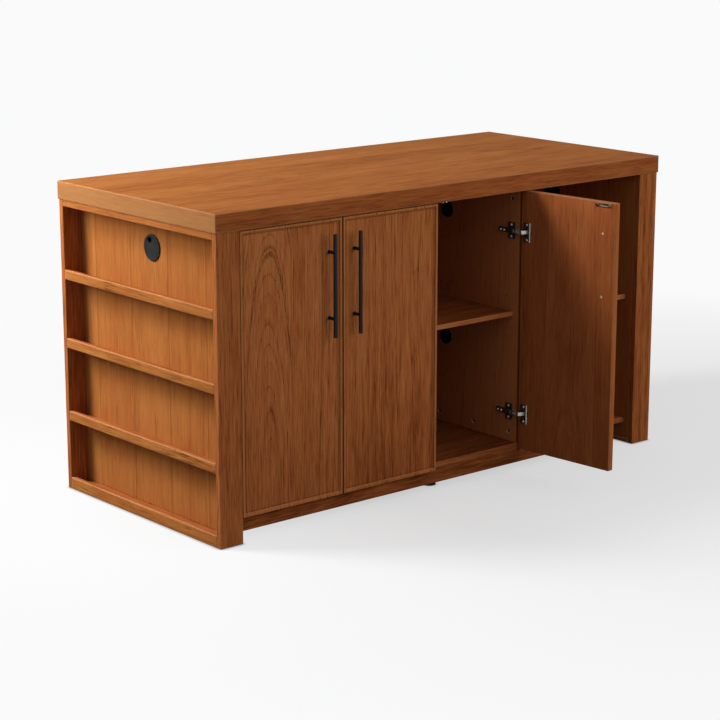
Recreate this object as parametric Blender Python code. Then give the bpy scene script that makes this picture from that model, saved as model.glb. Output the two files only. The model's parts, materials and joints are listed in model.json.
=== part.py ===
"""Kitchen island: worktop, two end bookcases, door cabinets, an open bay and a raised plinth.

Metres, +Z up. The front faces -Y. The origin is on the floor, under the middle of the worktop.
"""

import math

import bmesh
import bpy
from mathutils import Matrix, Vector

# Worktop
WORKTOP_LENGTH = 1.702
WORKTOP_DEPTH = 0.762
WORKTOP_THICKNESS = 0.052
WORKTOP_OVERHANG = 0.003
HEIGHT = 0.914

# Board joints and edges
FIT = 0.0003
EDGE_ROUND = 0.0008

# End bookcases
END_DEPTH = 0.076
STILE_THICKNESS = 0.018
END_TOP_THICKNESS = 0.019
END_PANEL_THICKNESS = 0.016
END_FLOOR_THICKNESS = 0.016
END_FLOOR_RAIL_HEIGHT = 0.0345
LEDGE_THICKNESS = 0.012
RAIL_THICKNESS = 0.013
RAIL_HEIGHT = 0.028
RAIL_RISE = 0.0185
TOP_COMPARTMENT = 0.2042
UPPER_COMPARTMENT = 0.2025
MIDDLE_COMPARTMENT = 0.2184

# Cable grommets in the end panels
GROMMET_DROP = 0.0957
GROMMET_HOLE_RADIUS = 0.0335
GROMMET_FLANGE_WIDTH = 0.0045
GROMMET_FLANGE_THICKNESS = 0.003
GROMMET_WALL = 0.0025
GROMMET_SHOULDER = 0.0025
GROMMET_SLEEVE_PROUD = 0.002
CAP_THICKNESS = 0.005
CAP_NOTCH_RADIUS = 0.009
CAP_NOTCH_DEPTH = 0.016
CAP_NOTCH_TILT = math.radians(66.0)

# Doors
DOOR_WIDTH = 0.3495
DOOR_THICKNESS = 0.020
DOOR_GAP = 0.003
DOOR_SIDE_GAP = 0.002
DOOR_TOP_GAP = 0.002
DOOR_BACK_GAP = 0.002
DOOR_BOTTOM = 0.0725
DOOR_LIP_WIDTH = 0.011
DOOR_LIP_DEPTH = 0.005
DOOR_OPEN_ANGLE = math.radians(94.5)
FRONT_PIVOT_INSET = 0.003
REAR_PIVOT_INSET = 0.0006
REAR_PIVOT_DEPTH = 0.0015

# Handles
HANDLE_LENGTH = 0.288
HANDLE_RADIUS = 0.0055
HANDLE_POST_SPACING = 0.184
HANDLE_POST_RADIUS = 0.0045
HANDLE_STANDOFF = 0.027
HANDLE_EDGE_DISTANCE = 0.0435
HANDLE_DROP = 0.184
HANDLE_END_ROUND = 0.0008

# Concealed hinges
HINGE_TOP_DISTANCE = 0.123
HINGE_BOTTOM_DISTANCE = 0.1105
CUP_EDGE_DISTANCE = 0.0225
CUP_RADIUS = 0.0175
CUP_DEPTH = 0.0125
CUP_WALL = 0.001
FLANGE_THICKNESS = 0.0012
FLANGE_LIP = 0.001
FLANGE_HEIGHT = 0.058
FLANGE_WIDTH = 0.026
TONGUE_LENGTH_OUT = 0.014
TONGUE_SHIFT = 0.0115
TONGUE_THICKNESS = 0.004
ARM_SETBACK = 0.016
ARM_LENGTH = 0.063
ARM_HEIGHT = 0.014
ARM_STANDOFF = 0.010
PLATE_LENGTH = 0.030
PLATE_HEIGHT = 0.050
PLATE_THICKNESS = 0.0025
CRANK_LENGTH = 0.014
CHEEK_THICKNESS = 0.0015
CHEEK_WIDTH = 0.006
CHEEK_CUP_CLEARANCE = 0.004
CHEEK_FLANGE_CLEARANCE = 0.001
CHEEK_CUP_FLOOR_CLEARANCE = 0.0006

# Magnetic catches
CATCH_LENGTH = 0.033
CATCH_DEPTH = 0.014
CATCH_HEIGHT = 0.011
CATCH_DOOR_GAP = 0.0015
CATCH_EDGE_DISTANCE = 0.0425

# Carcass
BACK_RECESS = 0.030
DIVIDER_THICKNESS = 0.018
BACK_THICKNESS = 0.018
BACK_JOINT = 0.002
FLOOR_THICKNESS = 0.0145
CABINET_FLOOR_TOP = 0.089
BAY_FLOOR_TOP = 0.080
SHELF_THICKNESS = 0.015
CABINET_SHELF_TOP = 0.4935
BAY_SHELF_TOP = 0.479
CABINET_SHELF_SETBACK = 0.022
BAY_SHELF_SETBACK = 0.025
SHELF_BACK_GAP = 0.0005

# Plinth and feet
PLINTH_THICKNESS = 0.015
PLINTH_FLOOR_GAP = 0.027
PLINTH_SETBACK = 0.001
FOOT_RADIUS = 0.020
FOOT_BASE_HEIGHT = 0.006
FOOT_STEM_RADIUS = 0.006
FOOT_X = -0.012
FOOT_INSET = 0.054

# Cam bores and shelf-pin holes in the dividers' left faces
CAM_BORE_RADIUS = 0.0075
CAM_BORE_DEPTH = 0.012
CAM_EDGE_DISTANCE = 0.030
CAM_END_DISTANCE = 0.033
CAM_FLOOR_COUNT = 5
CAM_TOP_COUNT = 3
PIN_HOLE_RADIUS = 0.0025
PIN_HOLE_DEPTH = 0.010
PIN_PITCH = 0.061
PIN_END_DISTANCE = 0.051
PIN_COLUMN_COUNT = 3
LOWER_DIVIDER_GROMMET_DROP = 0.1265
DIVIDER_GROMMET_SETBACK = 0.315
DIVIDER_GROMMET_RADIUS = 0.0255
DIVIDER_GROMMET_LIP = 0.0025
DIVIDER_GROMMET_FLANGE = 0.0025

# Facets of round pieces
ROUND_SEGMENTS = 32
BORE_SEGMENTS = 16
PIN_SEGMENTS = 8

# Places that follow from the sizes above
FRONT_Y = -WORKTOP_DEPTH / 2
STILE_FRONT_Y = FRONT_Y + WORKTOP_OVERHANG
BODY_TOP = HEIGHT - WORKTOP_THICKNESS - FIT
END_OUTER_X = WORKTOP_LENGTH / 2 - WORKTOP_OVERHANG
END_INNER_X = END_OUTER_X - END_DEPTH
STILE_INNER_Y = -STILE_FRONT_Y - STILE_THICKNESS
UPPER_RAIL_TOP = BODY_TOP - TOP_COMPARTMENT
MIDDLE_RAIL_TOP = UPPER_RAIL_TOP - UPPER_COMPARTMENT
LOWER_RAIL_TOP = MIDDLE_RAIL_TOP - MIDDLE_COMPARTMENT
DOOR_INNER_Y = STILE_FRONT_Y + DOOR_THICKNESS
DOOR_TOP = HEIGHT - WORKTOP_THICKNESS - DOOR_TOP_GAP
DOOR_PITCH = DOOR_WIDTH + DOOR_GAP
FIRST_DOOR_X = -END_INNER_X + DOOR_SIDE_GAP
CARCASS_FRONT_Y = DOOR_INNER_Y + DOOR_BACK_GAP
CARCASS_REAR_Y = -STILE_FRONT_Y - BACK_RECESS - BACK_THICKNESS - FIT
CENTRE_DIVIDER_X = FIRST_DOOR_X + 2 * DOOR_PITCH - DOOR_GAP / 2
RIGHT_DIVIDER_X = FIRST_DOOR_X + 3 * DOOR_PITCH - DOOR_GAP / 2
BAY_LEFT_X = RIGHT_DIVIDER_X + DIVIDER_THICKNESS / 2
BAY_CENTRE_X = (BAY_LEFT_X + END_INNER_X) / 2
CABINET_FLOOR_BOTTOM = CABINET_FLOOR_TOP - FLOOR_THICKNESS
BAY_FLOOR_BOTTOM = BAY_FLOOR_TOP - FLOOR_THICKNESS
PLINTH_FRONT_Y = CARCASS_FRONT_Y + PLINTH_SETBACK
PLINTH_INNER_Y = PLINTH_FRONT_Y + PLINTH_THICKNESS
REAR_PLINTH_Y = CARCASS_REAR_Y - PLINTH_SETBACK
REAR_PLINTH_INNER_Y = REAR_PLINTH_Y - PLINTH_THICKNESS
GROMMET_Z = BODY_TOP - GROMMET_DROP
DIVIDER_GROMMET_HEIGHTS = {
    "upper": GROMMET_Z,
    "lower": CABINET_SHELF_TOP - LOWER_DIVIDER_GROMMET_DROP,
}
HANDLE_Z = DOOR_TOP - HANDLE_DROP
HINGE_UPPER_Z = DOOR_TOP - HINGE_TOP_DISTANCE
HINGE_LOWER_Z = DOOR_BOTTOM + HINGE_BOTTOM_DISTANCE

TONGUE_HEIGHT = ARM_HEIGHT - 2 * (CHEEK_THICKNESS + FIT)
OUTER_CHEEK_REACH = FIT + FLANGE_THICKNESS + CHEEK_FLANGE_CLEARANCE - DOOR_BACK_GAP
INNER_CHEEK_REACH = FIT + CUP_WALL - CUP_DEPTH + CHEEK_CUP_FLOOR_CLEARANCE - DOOR_BACK_GAP

# Finish of each kind of piece: colour, roughness, metallic
FINISHES = {
    "oak": ((0.30, 0.115, 0.042, 1.0), 0.48, 0.0),
    "black_metal": ((0.012, 0.012, 0.013, 1.0), 0.42, 1.0),
    "black_plastic": ((0.014, 0.015, 0.017, 1.0), 0.5, 0.0),
    "nickel": ((0.62, 0.60, 0.57, 1.0), 0.25, 1.0),
}


def clear_scene():
    for item in list(bpy.data.objects):
        bpy.data.objects.remove(item, do_unlink=True)


def finish_material(name, finish):
    colour, roughness, metallic = FINISHES[finish]
    material = bpy.data.materials.new(f"{name}_{finish}")
    material.use_nodes = True
    shader = material.node_tree.nodes["Principled BSDF"]
    shader.inputs["Base Color"].default_value = colour
    shader.inputs["Roughness"].default_value = roughness
    shader.inputs["Metallic"].default_value = metallic
    material.diffuse_color = colour
    return material


def add_object(name, mesh_data, place=(0.0, 0.0, 0.0), turn=(0.0, 0.0, 0.0), parent=None):
    item = bpy.data.objects.new(name, mesh_data)
    bpy.context.scene.collection.objects.link(item)
    item.location = place
    item.rotation_euler = turn
    item.parent = parent
    return item


def mesh_from(name, bm):
    """Turns a bmesh into mesh data with its faces pointing out."""
    bmesh.ops.recalc_face_normals(bm, faces=bm.faces)
    mesh_data = bpy.data.meshes.new(name)
    bm.to_mesh(mesh_data)
    bm.free()
    return mesh_data


def add_solid(name, bm, finish, place=(0.0, 0.0, 0.0), turn=(0.0, 0.0, 0.0), parent=None):
    item = add_object(name, mesh_from(name, bm), place, turn, parent)
    item.data.materials.append(finish_material(name, finish))
    return item


def add_cutter(name, bm, place=(0.0, 0.0, 0.0), turn=(0.0, 0.0, 0.0), parent=None):
    item = add_object(name, mesh_from(name, bm), place, turn, parent)
    item.hide_render = True
    item.display_type = "WIRE"
    return item


def combine(item, other, operation):
    step = item.modifiers.new(operation.title(), "BOOLEAN")
    step.operation = operation
    step.object = other


def round_edges(item):
    step = item.modifiers.new("Edge round", "BEVEL")
    step.width = EDGE_ROUND
    step.segments = 1
    step.limit_method = "ANGLE"


def shade_round(item):
    item.data.shade_smooth()
    item.data.set_sharp_from_angle(angle=math.radians(35.0))


def add_box(bm, low, high):
    low, high = Vector(low), Vector(high)
    scale = Matrix.Diagonal(high - low).to_4x4()
    bmesh.ops.create_cube(bm, size=1.0, matrix=Matrix.Translation((low + high) / 2) @ scale)


def add_cylinder(bm, centre, axis, radius, length, segments):
    turn = Vector((0.0, 0.0, 1.0)).rotation_difference(Vector(axis)).to_matrix().to_4x4()
    bmesh.ops.create_cone(
        bm, cap_ends=True, segments=segments, radius1=radius, radius2=radius, depth=length,
        matrix=Matrix.Translation(centre) @ turn,
    )


def board(name, low, high, finish="oak"):
    """A board between two corners, with its edges eased and its origin at its middle."""
    middle = (Vector(low) + Vector(high)) / 2
    bm = bmesh.new()
    add_box(bm, Vector(low) - middle, Vector(high) - middle)
    item = add_solid(name, bm, finish, middle)
    round_edges(item)
    return item


def extruded(outline, start, end, axis):
    """A closed solid: an outline in the two other axes, carried along one axis from start to end."""
    others = [index for index in range(3) if index != axis]
    bm = bmesh.new()
    corners = []
    for first, second in outline:
        point = [0.0, 0.0, 0.0]
        point[axis] = start
        point[others[0]] = first
        point[others[1]] = second
        corners.append(bm.verts.new(point))
    face = bm.faces.new(corners)
    moved = bmesh.ops.extrude_face_region(bm, geom=[face])["geom"]
    shift = Vector((0.0, 0.0, 0.0))
    shift[axis] = end - start
    bmesh.ops.translate(bm, vec=shift, verts=[v for v in moved if isinstance(v, bmesh.types.BMVert)])
    return bm


def turned(profile, segments):
    """Spins a profile of (radius, height) points about Z. Its ends lie on the axis, or it closes on itself."""
    bm = bmesh.new()
    points = [bm.verts.new((radius, 0.0, height)) for radius, height in profile]
    edges = [bm.edges.new(pair) for pair in zip(points, points[1:])]
    if profile[0][0] > 0.0:
        edges.append(bm.edges.new((points[-1], points[0])))
    bmesh.ops.spin(
        bm, geom=points + edges, cent=(0.0, 0.0, 0.0), axis=(0.0, 0.0, 1.0),
        angle=2 * math.pi, steps=segments, use_merge=True,
    )
    bmesh.ops.remove_doubles(bm, verts=bm.verts, dist=1e-6)
    return bm


def stacked(boxes):
    """One closed solid from boxes that touch or overlap, on the grid of all their corners."""
    grid = [sorted({corner[axis] for box in boxes for corner in box}) for axis in range(3)]
    bm = bmesh.new()
    points = {}

    def filled(cell):
        if any(index < 0 or index + 1 >= len(grid[axis]) for axis, index in enumerate(cell)):
            return False
        middle = [(grid[axis][index] + grid[axis][index + 1]) / 2 for axis, index in enumerate(cell)]
        return any(all(low[a] < middle[a] < high[a] for a in range(3)) for low, high in boxes)

    def corner(index):
        if index not in points:
            points[index] = bm.verts.new([grid[axis][index[axis]] for axis in range(3)])
        return points[index]

    for i in range(len(grid[0]) - 1):
        for j in range(len(grid[1]) - 1):
            for k in range(len(grid[2]) - 1):
                cell = (i, j, k)
                if not filled(cell):
                    continue
                for axis in range(3):
                    for side in (0, 1):
                        beside = list(cell)
                        beside[axis] += 2 * side - 1
                        if filled(tuple(beside)):
                            continue
                        ring = []
                        for first, second in ((0, 0), (1, 0), (1, 1), (0, 1)):
                            index = list(cell)
                            index[axis] += side
                            index[(axis + 1) % 3] += first
                            index[(axis + 2) % 3] += second
                            ring.append(corner(tuple(index)))
                        bm.faces.new(ring)
    bmesh.ops.dissolve_limit(bm, angle_limit=0.01, verts=bm.verts, edges=bm.edges)
    return bm


def mirrored_box(side, low, high):
    """A box given for the right side, or its mirror image for the left."""
    if side > 0:
        return low, high
    return (-high[0], low[1], low[2]), (-low[0], high[1], high[2])


def worktop():
    half_length, half_depth = WORKTOP_LENGTH / 2, WORKTOP_DEPTH / 2
    low = (-half_length, -half_depth, HEIGHT - WORKTOP_THICKNESS)
    board("worktop", low, (half_length, half_depth, HEIGHT))


def ledge(name, side, outline):
    """A bookcase ledge: a board and its raised rail in one section, between the two stiles."""
    section = [(side * x, z) for x, z in outline]
    middle_z = sum(z for _, z in section) / len(section)
    middle_x = sum(x for x, _ in section) / len(section)
    centred = [(x - middle_x, z - middle_z) for x, z in section]
    half = STILE_INNER_Y - FIT
    item = add_solid(name, extruded(centred, -half, half, 1), "oak", (middle_x, 0.0, middle_z))
    round_edges(item)


def ledge_outline(rail_top):
    back_x = END_INNER_X + END_PANEL_THICKNESS + FIT
    rail_x = END_OUTER_X - RAIL_THICKNESS
    board_top = rail_top - RAIL_RISE
    board_bottom = board_top - LEDGE_THICKNESS
    rail_bottom = rail_top - RAIL_HEIGHT
    return [
        (back_x, board_bottom), (rail_x, board_bottom), (rail_x, rail_bottom), (END_OUTER_X, rail_bottom),
        (END_OUTER_X, rail_top), (rail_x, rail_top), (rail_x, board_top), (back_x, board_top),
    ]


def end_bookcase(name, side):
    stile_high = (END_OUTER_X, STILE_FRONT_Y + STILE_THICKNESS, BODY_TOP)
    board(f"{name}_end_front_stile", *mirrored_box(side, (END_INNER_X, STILE_FRONT_Y, 0.0), stile_high))
    rear_high = (END_OUTER_X, -STILE_FRONT_Y, BODY_TOP)
    board(f"{name}_end_rear_stile", *mirrored_box(side, (END_INNER_X, STILE_INNER_Y, 0.0), rear_high))

    half = STILE_INNER_Y - FIT
    top_low = (END_INNER_X, -half, BODY_TOP - END_TOP_THICKNESS)
    board(f"{name}_end_top_board", *mirrored_box(side, top_low, (END_OUTER_X, half, BODY_TOP)))

    panel_low = (END_INNER_X, -half, END_FLOOR_THICKNESS + FIT)
    panel_high = (END_INNER_X + END_PANEL_THICKNESS, half, BODY_TOP - END_TOP_THICKNESS - FIT)
    panel = board(f"{name}_end_back_panel", *mirrored_box(side, panel_low, panel_high))
    hole = bmesh.new()
    middle = (side * (panel_low[0] + panel_high[0]) / 2, 0.0, GROMMET_Z)
    add_cylinder(hole, middle, (1.0, 0.0, 0.0), GROMMET_HOLE_RADIUS, 2 * END_PANEL_THICKNESS, ROUND_SEGMENTS)
    combine(panel, add_cutter(f"{name}_end_cable_hole", hole), "DIFFERENCE")

    rail_x = END_OUTER_X - RAIL_THICKNESS
    floor_outline = [
        (END_INNER_X, 0.0), (END_OUTER_X, 0.0), (END_OUTER_X, END_FLOOR_RAIL_HEIGHT),
        (rail_x, END_FLOOR_RAIL_HEIGHT), (rail_x, END_FLOOR_THICKNESS), (END_INNER_X, END_FLOOR_THICKNESS),
    ]
    ledge(f"{name}_end_floor_ledge", side, floor_outline)
    ledge(f"{name}_end_lower_ledge", side, ledge_outline(LOWER_RAIL_TOP))
    ledge(f"{name}_end_middle_ledge", side, ledge_outline(MIDDLE_RAIL_TOP))
    ledge(f"{name}_end_upper_ledge", side, ledge_outline(UPPER_RAIL_TOP))
    end_grommet(name, side)


def end_grommet(name, side):
    """The fixed ring through the end panel, and the notched cap that turns in it."""
    sleeve_radius = GROMMET_HOLE_RADIUS - FIT
    bore_radius = sleeve_radius - GROMMET_WALL
    shoulder_radius = bore_radius - GROMMET_SHOULDER
    flange_radius = GROMMET_HOLE_RADIUS + GROMMET_FLANGE_WIDTH
    flange_top = GROMMET_FLANGE_THICKNESS
    cap_seat = flange_top - CAP_THICKNESS - FIT
    sleeve_end = -(END_PANEL_THICKNESS + 2 * FIT + GROMMET_SLEEVE_PROUD)
    ring_profile = [
        (flange_radius, flange_top - EDGE_ROUND), (flange_radius, 0.0), (sleeve_radius, 0.0),
        (sleeve_radius, sleeve_end), (shoulder_radius, sleeve_end), (shoulder_radius, cap_seat),
        (bore_radius, cap_seat), (bore_radius, flange_top), (flange_radius - EDGE_ROUND, flange_top),
    ]
    face_x = END_INNER_X + END_PANEL_THICKNESS + FIT
    place = (side * face_x, 0.0, GROMMET_Z)
    turn = (0.0, side * math.pi / 2, 0.0)
    ring = add_solid(f"{name}_grommet_ring", turned(ring_profile, ROUND_SEGMENTS), "black_plastic", place, turn)
    shade_round(ring)

    cap_radius = bore_radius - FIT
    cap = add_solid(
        f"{name}_grommet_cap",
        extruded(cap_outline(cap_radius, side), cap_seat + FIT, flange_top, 2), "black_plastic", place, turn,
    )
    shade_round(cap)


def cap_outline(radius, side):
    """A disc with a round-ended cable notch cut in from its edge, at the upper rear on both ends."""
    notch_angle = math.pi / 2 + side * CAP_NOTCH_TILT
    half_angle = math.asin(CAP_NOTCH_RADIUS / radius)
    sweep = 2 * math.pi - 2 * half_angle
    outline = []
    for step in range(ROUND_SEGMENTS + 1):
        angle = notch_angle + half_angle + sweep * step / ROUND_SEGMENTS
        outline.append((radius * math.cos(angle), radius * math.sin(angle)))
    centre_radius = radius - CAP_NOTCH_DEPTH + CAP_NOTCH_RADIUS
    centre = (centre_radius * math.cos(notch_angle), centre_radius * math.sin(notch_angle))
    for step in range(PIN_SEGMENTS + 1):
        angle = notch_angle - math.pi / 2 - math.pi * step / PIN_SEGMENTS
        outline.append((
            centre[0] + CAP_NOTCH_RADIUS * math.cos(angle), centre[1] + CAP_NOTCH_RADIUS * math.sin(angle),
        ))
    return outline


def evenly(start, end, count):
    return [start + (end - start) * step / (count - 1) for step in range(count)]


def divider(name, centre_x):
    left_x, right_x = centre_x - DIVIDER_THICKNESS / 2, centre_x + DIVIDER_THICKNESS / 2
    bottom = CABINET_FLOOR_TOP + FIT
    item = board(name, (left_x, CARCASS_FRONT_Y, bottom), (right_x, CARCASS_REAR_Y, BODY_TOP))

    holes = bmesh.new()
    along_x = (1.0, 0.0, 0.0)
    cam_front, cam_rear = CARCASS_FRONT_Y + CAM_END_DISTANCE, CARCASS_REAR_Y - CAM_END_DISTANCE
    for y in evenly(cam_front, cam_rear, CAM_FLOOR_COUNT):
        place = (left_x, y, bottom + CAM_EDGE_DISTANCE)
        add_cylinder(holes, place, along_x, CAM_BORE_RADIUS, 2 * CAM_BORE_DEPTH, BORE_SEGMENTS)
    for y in evenly(cam_front, cam_rear, CAM_TOP_COUNT):
        place = (left_x, y, BODY_TOP - CAM_EDGE_DISTANCE)
        add_cylinder(holes, place, along_x, CAM_BORE_RADIUS, 2 * CAM_BORE_DEPTH, BORE_SEGMENTS)
    pin_row = CABINET_SHELF_TOP - SHELF_THICKNESS - PIN_HOLE_RADIUS
    pin_front, pin_rear = CARCASS_FRONT_Y + PIN_END_DISTANCE, CARCASS_REAR_Y - PIN_END_DISTANCE
    for y in evenly(pin_front, pin_rear, PIN_COLUMN_COUNT):
        for rise in (-PIN_PITCH, 0.0, PIN_PITCH):
            place = (left_x, y, pin_row + rise)
            add_cylinder(holes, place, along_x, PIN_HOLE_RADIUS, 2 * PIN_HOLE_DEPTH, PIN_SEGMENTS)
    if name == "right_divider":
        for height in DIVIDER_GROMMET_HEIGHTS.values():
            place = (centre_x, CARCASS_FRONT_Y + DIVIDER_GROMMET_SETBACK, height)
            radius = DIVIDER_GROMMET_RADIUS - DIVIDER_GROMMET_LIP
            add_cylinder(holes, place, along_x, radius, 2 * DIVIDER_THICKNESS, ROUND_SEGMENTS)
    combine(item, add_cutter(f"{name}_holes", holes), "DIFFERENCE")


def divider_grommets():
    """Closed cable plugs through the right divider, with a lip on its left face."""
    plug_radius = DIVIDER_GROMMET_RADIUS - DIVIDER_GROMMET_LIP - FIT
    profile = [
        (0.0, DIVIDER_GROMMET_FLANGE), (DIVIDER_GROMMET_RADIUS - EDGE_ROUND, DIVIDER_GROMMET_FLANGE),
        (DIVIDER_GROMMET_RADIUS, DIVIDER_GROMMET_FLANGE - EDGE_ROUND), (DIVIDER_GROMMET_RADIUS, 0.0),
        (plug_radius, 0.0), (plug_radius, -DIVIDER_THICKNESS - FIT), (0.0, -DIVIDER_THICKNESS - FIT),
    ]
    for level, height in DIVIDER_GROMMET_HEIGHTS.items():
        place = (
            RIGHT_DIVIDER_X - DIVIDER_THICKNESS / 2 - FIT, CARCASS_FRONT_Y + DIVIDER_GROMMET_SETBACK, height,
        )
        plug = turned(profile, ROUND_SEGMENTS)
        item = add_solid(f"{level}_divider_grommet", plug, "black_plastic", place, (0.0, -math.pi / 2, 0.0))
        shade_round(item)


def floors():
    cabinet_right = BAY_LEFT_X
    board(
        "cabinet_floor",
        (-END_INNER_X + FIT, CARCASS_FRONT_Y, CABINET_FLOOR_BOTTOM),
        (cabinet_right, CARCASS_REAR_Y, CABINET_FLOOR_TOP),
    )
    board(
        "bay_floor",
        (cabinet_right + FIT, PLINTH_INNER_Y + FIT, BAY_FLOOR_BOTTOM),
        (END_INNER_X - FIT, CARCASS_REAR_Y, BAY_FLOOR_TOP),
    )


def shelf(name, left_x, right_x, top, setback):
    low = (left_x + FIT, CARCASS_FRONT_Y + setback, top - SHELF_THICKNESS)
    board(name, low, (right_x - FIT, CARCASS_REAR_Y - SHELF_BACK_GAP, top))


def shelves():
    half = DIVIDER_THICKNESS / 2
    cabinet = (CABINET_SHELF_TOP, CABINET_SHELF_SETBACK)
    shelf("double_cabinet_shelf", -END_INNER_X, CENTRE_DIVIDER_X - half, *cabinet)
    shelf("single_cabinet_shelf", CENTRE_DIVIDER_X + half, RIGHT_DIVIDER_X - half, *cabinet)
    shelf("bay_shelf", BAY_LEFT_X, END_INNER_X, BAY_SHELF_TOP, BAY_SHELF_SETBACK)


def back_panels():
    front_y = CARCASS_REAR_Y + FIT
    bounds = {
        "double_cabinet_back": (-END_INNER_X + FIT, CENTRE_DIVIDER_X - BACK_JOINT / 2),
        "single_cabinet_back": (CENTRE_DIVIDER_X + BACK_JOINT / 2, RIGHT_DIVIDER_X - BACK_JOINT / 2),
        "bay_back": (RIGHT_DIVIDER_X + BACK_JOINT / 2, END_INNER_X - FIT),
    }
    for name, (left_x, right_x) in bounds.items():
        low = (left_x, front_y, CABINET_FLOOR_BOTTOM)
        board(name, low, (right_x, front_y + BACK_THICKNESS, BODY_TOP))


def plinth():
    """Boards under the floors, raised off the ground. They stop at the middle of the open bay."""
    top = CABINET_FLOOR_BOTTOM - FIT
    return_left = BAY_CENTRE_X - PLINTH_THICKNESS
    board(
        "front_plinth",
        (-END_INNER_X + FIT, PLINTH_FRONT_Y, PLINTH_FLOOR_GAP),
        (BAY_CENTRE_X, PLINTH_INNER_Y, top),
    )
    rear_top = min(top, BAY_FLOOR_BOTTOM - FIT)
    board(
        "rear_plinth",
        (-END_INNER_X + FIT, REAR_PLINTH_INNER_Y, PLINTH_FLOOR_GAP),
        (BAY_CENTRE_X, REAR_PLINTH_Y, rear_top),
    )
    board(
        "plinth_return",
        (return_left, PLINTH_INNER_Y + FIT, PLINTH_FLOOR_GAP),
        (BAY_CENTRE_X, REAR_PLINTH_INNER_Y - FIT, rear_top),
    )


def feet():
    top = CABINET_FLOOR_BOTTOM - FIT
    profile = [
        (0.0, top), (FOOT_STEM_RADIUS, top), (FOOT_STEM_RADIUS, FOOT_BASE_HEIGHT),
        (FOOT_RADIUS - EDGE_ROUND, FOOT_BASE_HEIGHT), (FOOT_RADIUS, FOOT_BASE_HEIGHT - EDGE_ROUND),
        (FOOT_RADIUS, 0.0), (0.0, 0.0),
    ]
    front_y, rear_y = PLINTH_INNER_Y + FOOT_INSET, REAR_PLINTH_INNER_Y - FOOT_INSET
    for name, y in (("front", front_y), ("middle", 0.0), ("rear", rear_y)):
        foot = add_solid(f"{name}_foot", turned(profile, ROUND_SEGMENTS), "black_plastic", (FOOT_X, y, 0.0))
        shade_round(foot)


def door_mesh(low, high):
    """A door board whose front face is sunk inside a narrow lip."""
    bm = bmesh.new()
    add_box(bm, low, high)
    bm.normal_update()
    front = [face for face in bm.faces if face.normal.y < -0.5]
    bmesh.ops.inset_region(bm, faces=front, thickness=DOOR_LIP_WIDTH)
    sunk = bmesh.ops.extrude_discrete_faces(bm, faces=front)["faces"]
    bmesh.ops.translate(bm, vec=(0.0, DOOR_LIP_DEPTH, 0.0), verts=sunk[0].verts)
    return bm


def door(name, left_x, hinge_side, wall_x, pivot, open_angle, cheek_reach):
    """A door with its handle, hinges and catch. hinge_side is -1 for left and 1 for right."""
    right_x = left_x + DOOR_WIDTH
    hinge_x, free_x = (right_x, left_x) if hinge_side > 0 else (left_x, right_x)
    pivot_x, pivot_y = hinge_x - hinge_side * pivot[0], pivot[1]
    axis = add_object(f"{name}_hinge_axis", None, (pivot_x, pivot_y, 0.0), (0.0, 0.0, hinge_side * open_angle))

    low = (left_x - pivot_x, STILE_FRONT_Y - pivot_y, DOOR_BOTTOM)
    high = (right_x - pivot_x, DOOR_INNER_Y - pivot_y, DOOR_TOP)
    leaf = add_solid(name, door_mesh(low, high), "oak", parent=axis)
    round_edges(leaf)

    inner_y = DOOR_INNER_Y - pivot_y
    cup_x = hinge_x - hinge_side * CUP_EDGE_DISTANCE
    bores = bmesh.new()
    for height in (HINGE_UPPER_Z, HINGE_LOWER_Z):
        place = (cup_x - pivot_x, inner_y, height)
        depth = 2 * (CUP_DEPTH + FIT)
        add_cylinder(bores, place, (0.0, 1.0, 0.0), CUP_RADIUS + FIT, depth, ROUND_SEGMENTS)
    combine(leaf, add_cutter(f"{name}_cup_bores", bores, parent=axis), "DIFFERENCE")

    for level, height in (("upper", HINGE_UPPER_Z), ("lower", HINGE_LOWER_Z)):
        hinge_cup(f"{name}_{level}_hinge_cup", (cup_x - pivot_x, inner_y + FIT, height), hinge_side, axis)
        reach = abs(wall_x - cup_x)
        hinge_arm(f"{name}_{level}_hinge_arm", wall_x, -hinge_side, reach, cheek_reach, height)

    handle_x = free_x + hinge_side * HANDLE_EDGE_DISTANCE
    handle(f"{name}_handle", (handle_x - pivot_x, STILE_FRONT_Y + DOOR_LIP_DEPTH - pivot_y), axis)
    catch(f"{name}_catch", free_x + hinge_side * CATCH_EDGE_DISTANCE)


def handle(name, place, axis):
    """A round bar on two posts, which stand on the sunk face of the door."""
    bar_y = -HANDLE_STANDOFF
    half = HANDLE_LENGTH / 2
    rim = HANDLE_RADIUS - HANDLE_END_ROUND
    profile = [
        (0.0, half), (rim, half), (HANDLE_RADIUS, half - HANDLE_END_ROUND),
        (HANDLE_RADIUS, HANDLE_END_ROUND - half), (rim, -half), (0.0, -half),
    ]
    centre = (place[0], place[1] + bar_y, HANDLE_Z)
    bar = add_solid(name, turned(profile, BORE_SEGMENTS), "black_metal", centre, parent=axis)
    shade_round(bar)
    posts = bmesh.new()
    length = HANDLE_STANDOFF - FIT
    for rise in (-HANDLE_POST_SPACING / 2, HANDLE_POST_SPACING / 2):
        add_cylinder(posts, (0.0, length / 2, rise), (0.0, 1.0, 0.0), HANDLE_POST_RADIUS, length, BORE_SEGMENTS)
    combine(bar, add_cutter(f"{name}_posts", posts, centre, parent=axis), "UNION")


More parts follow.
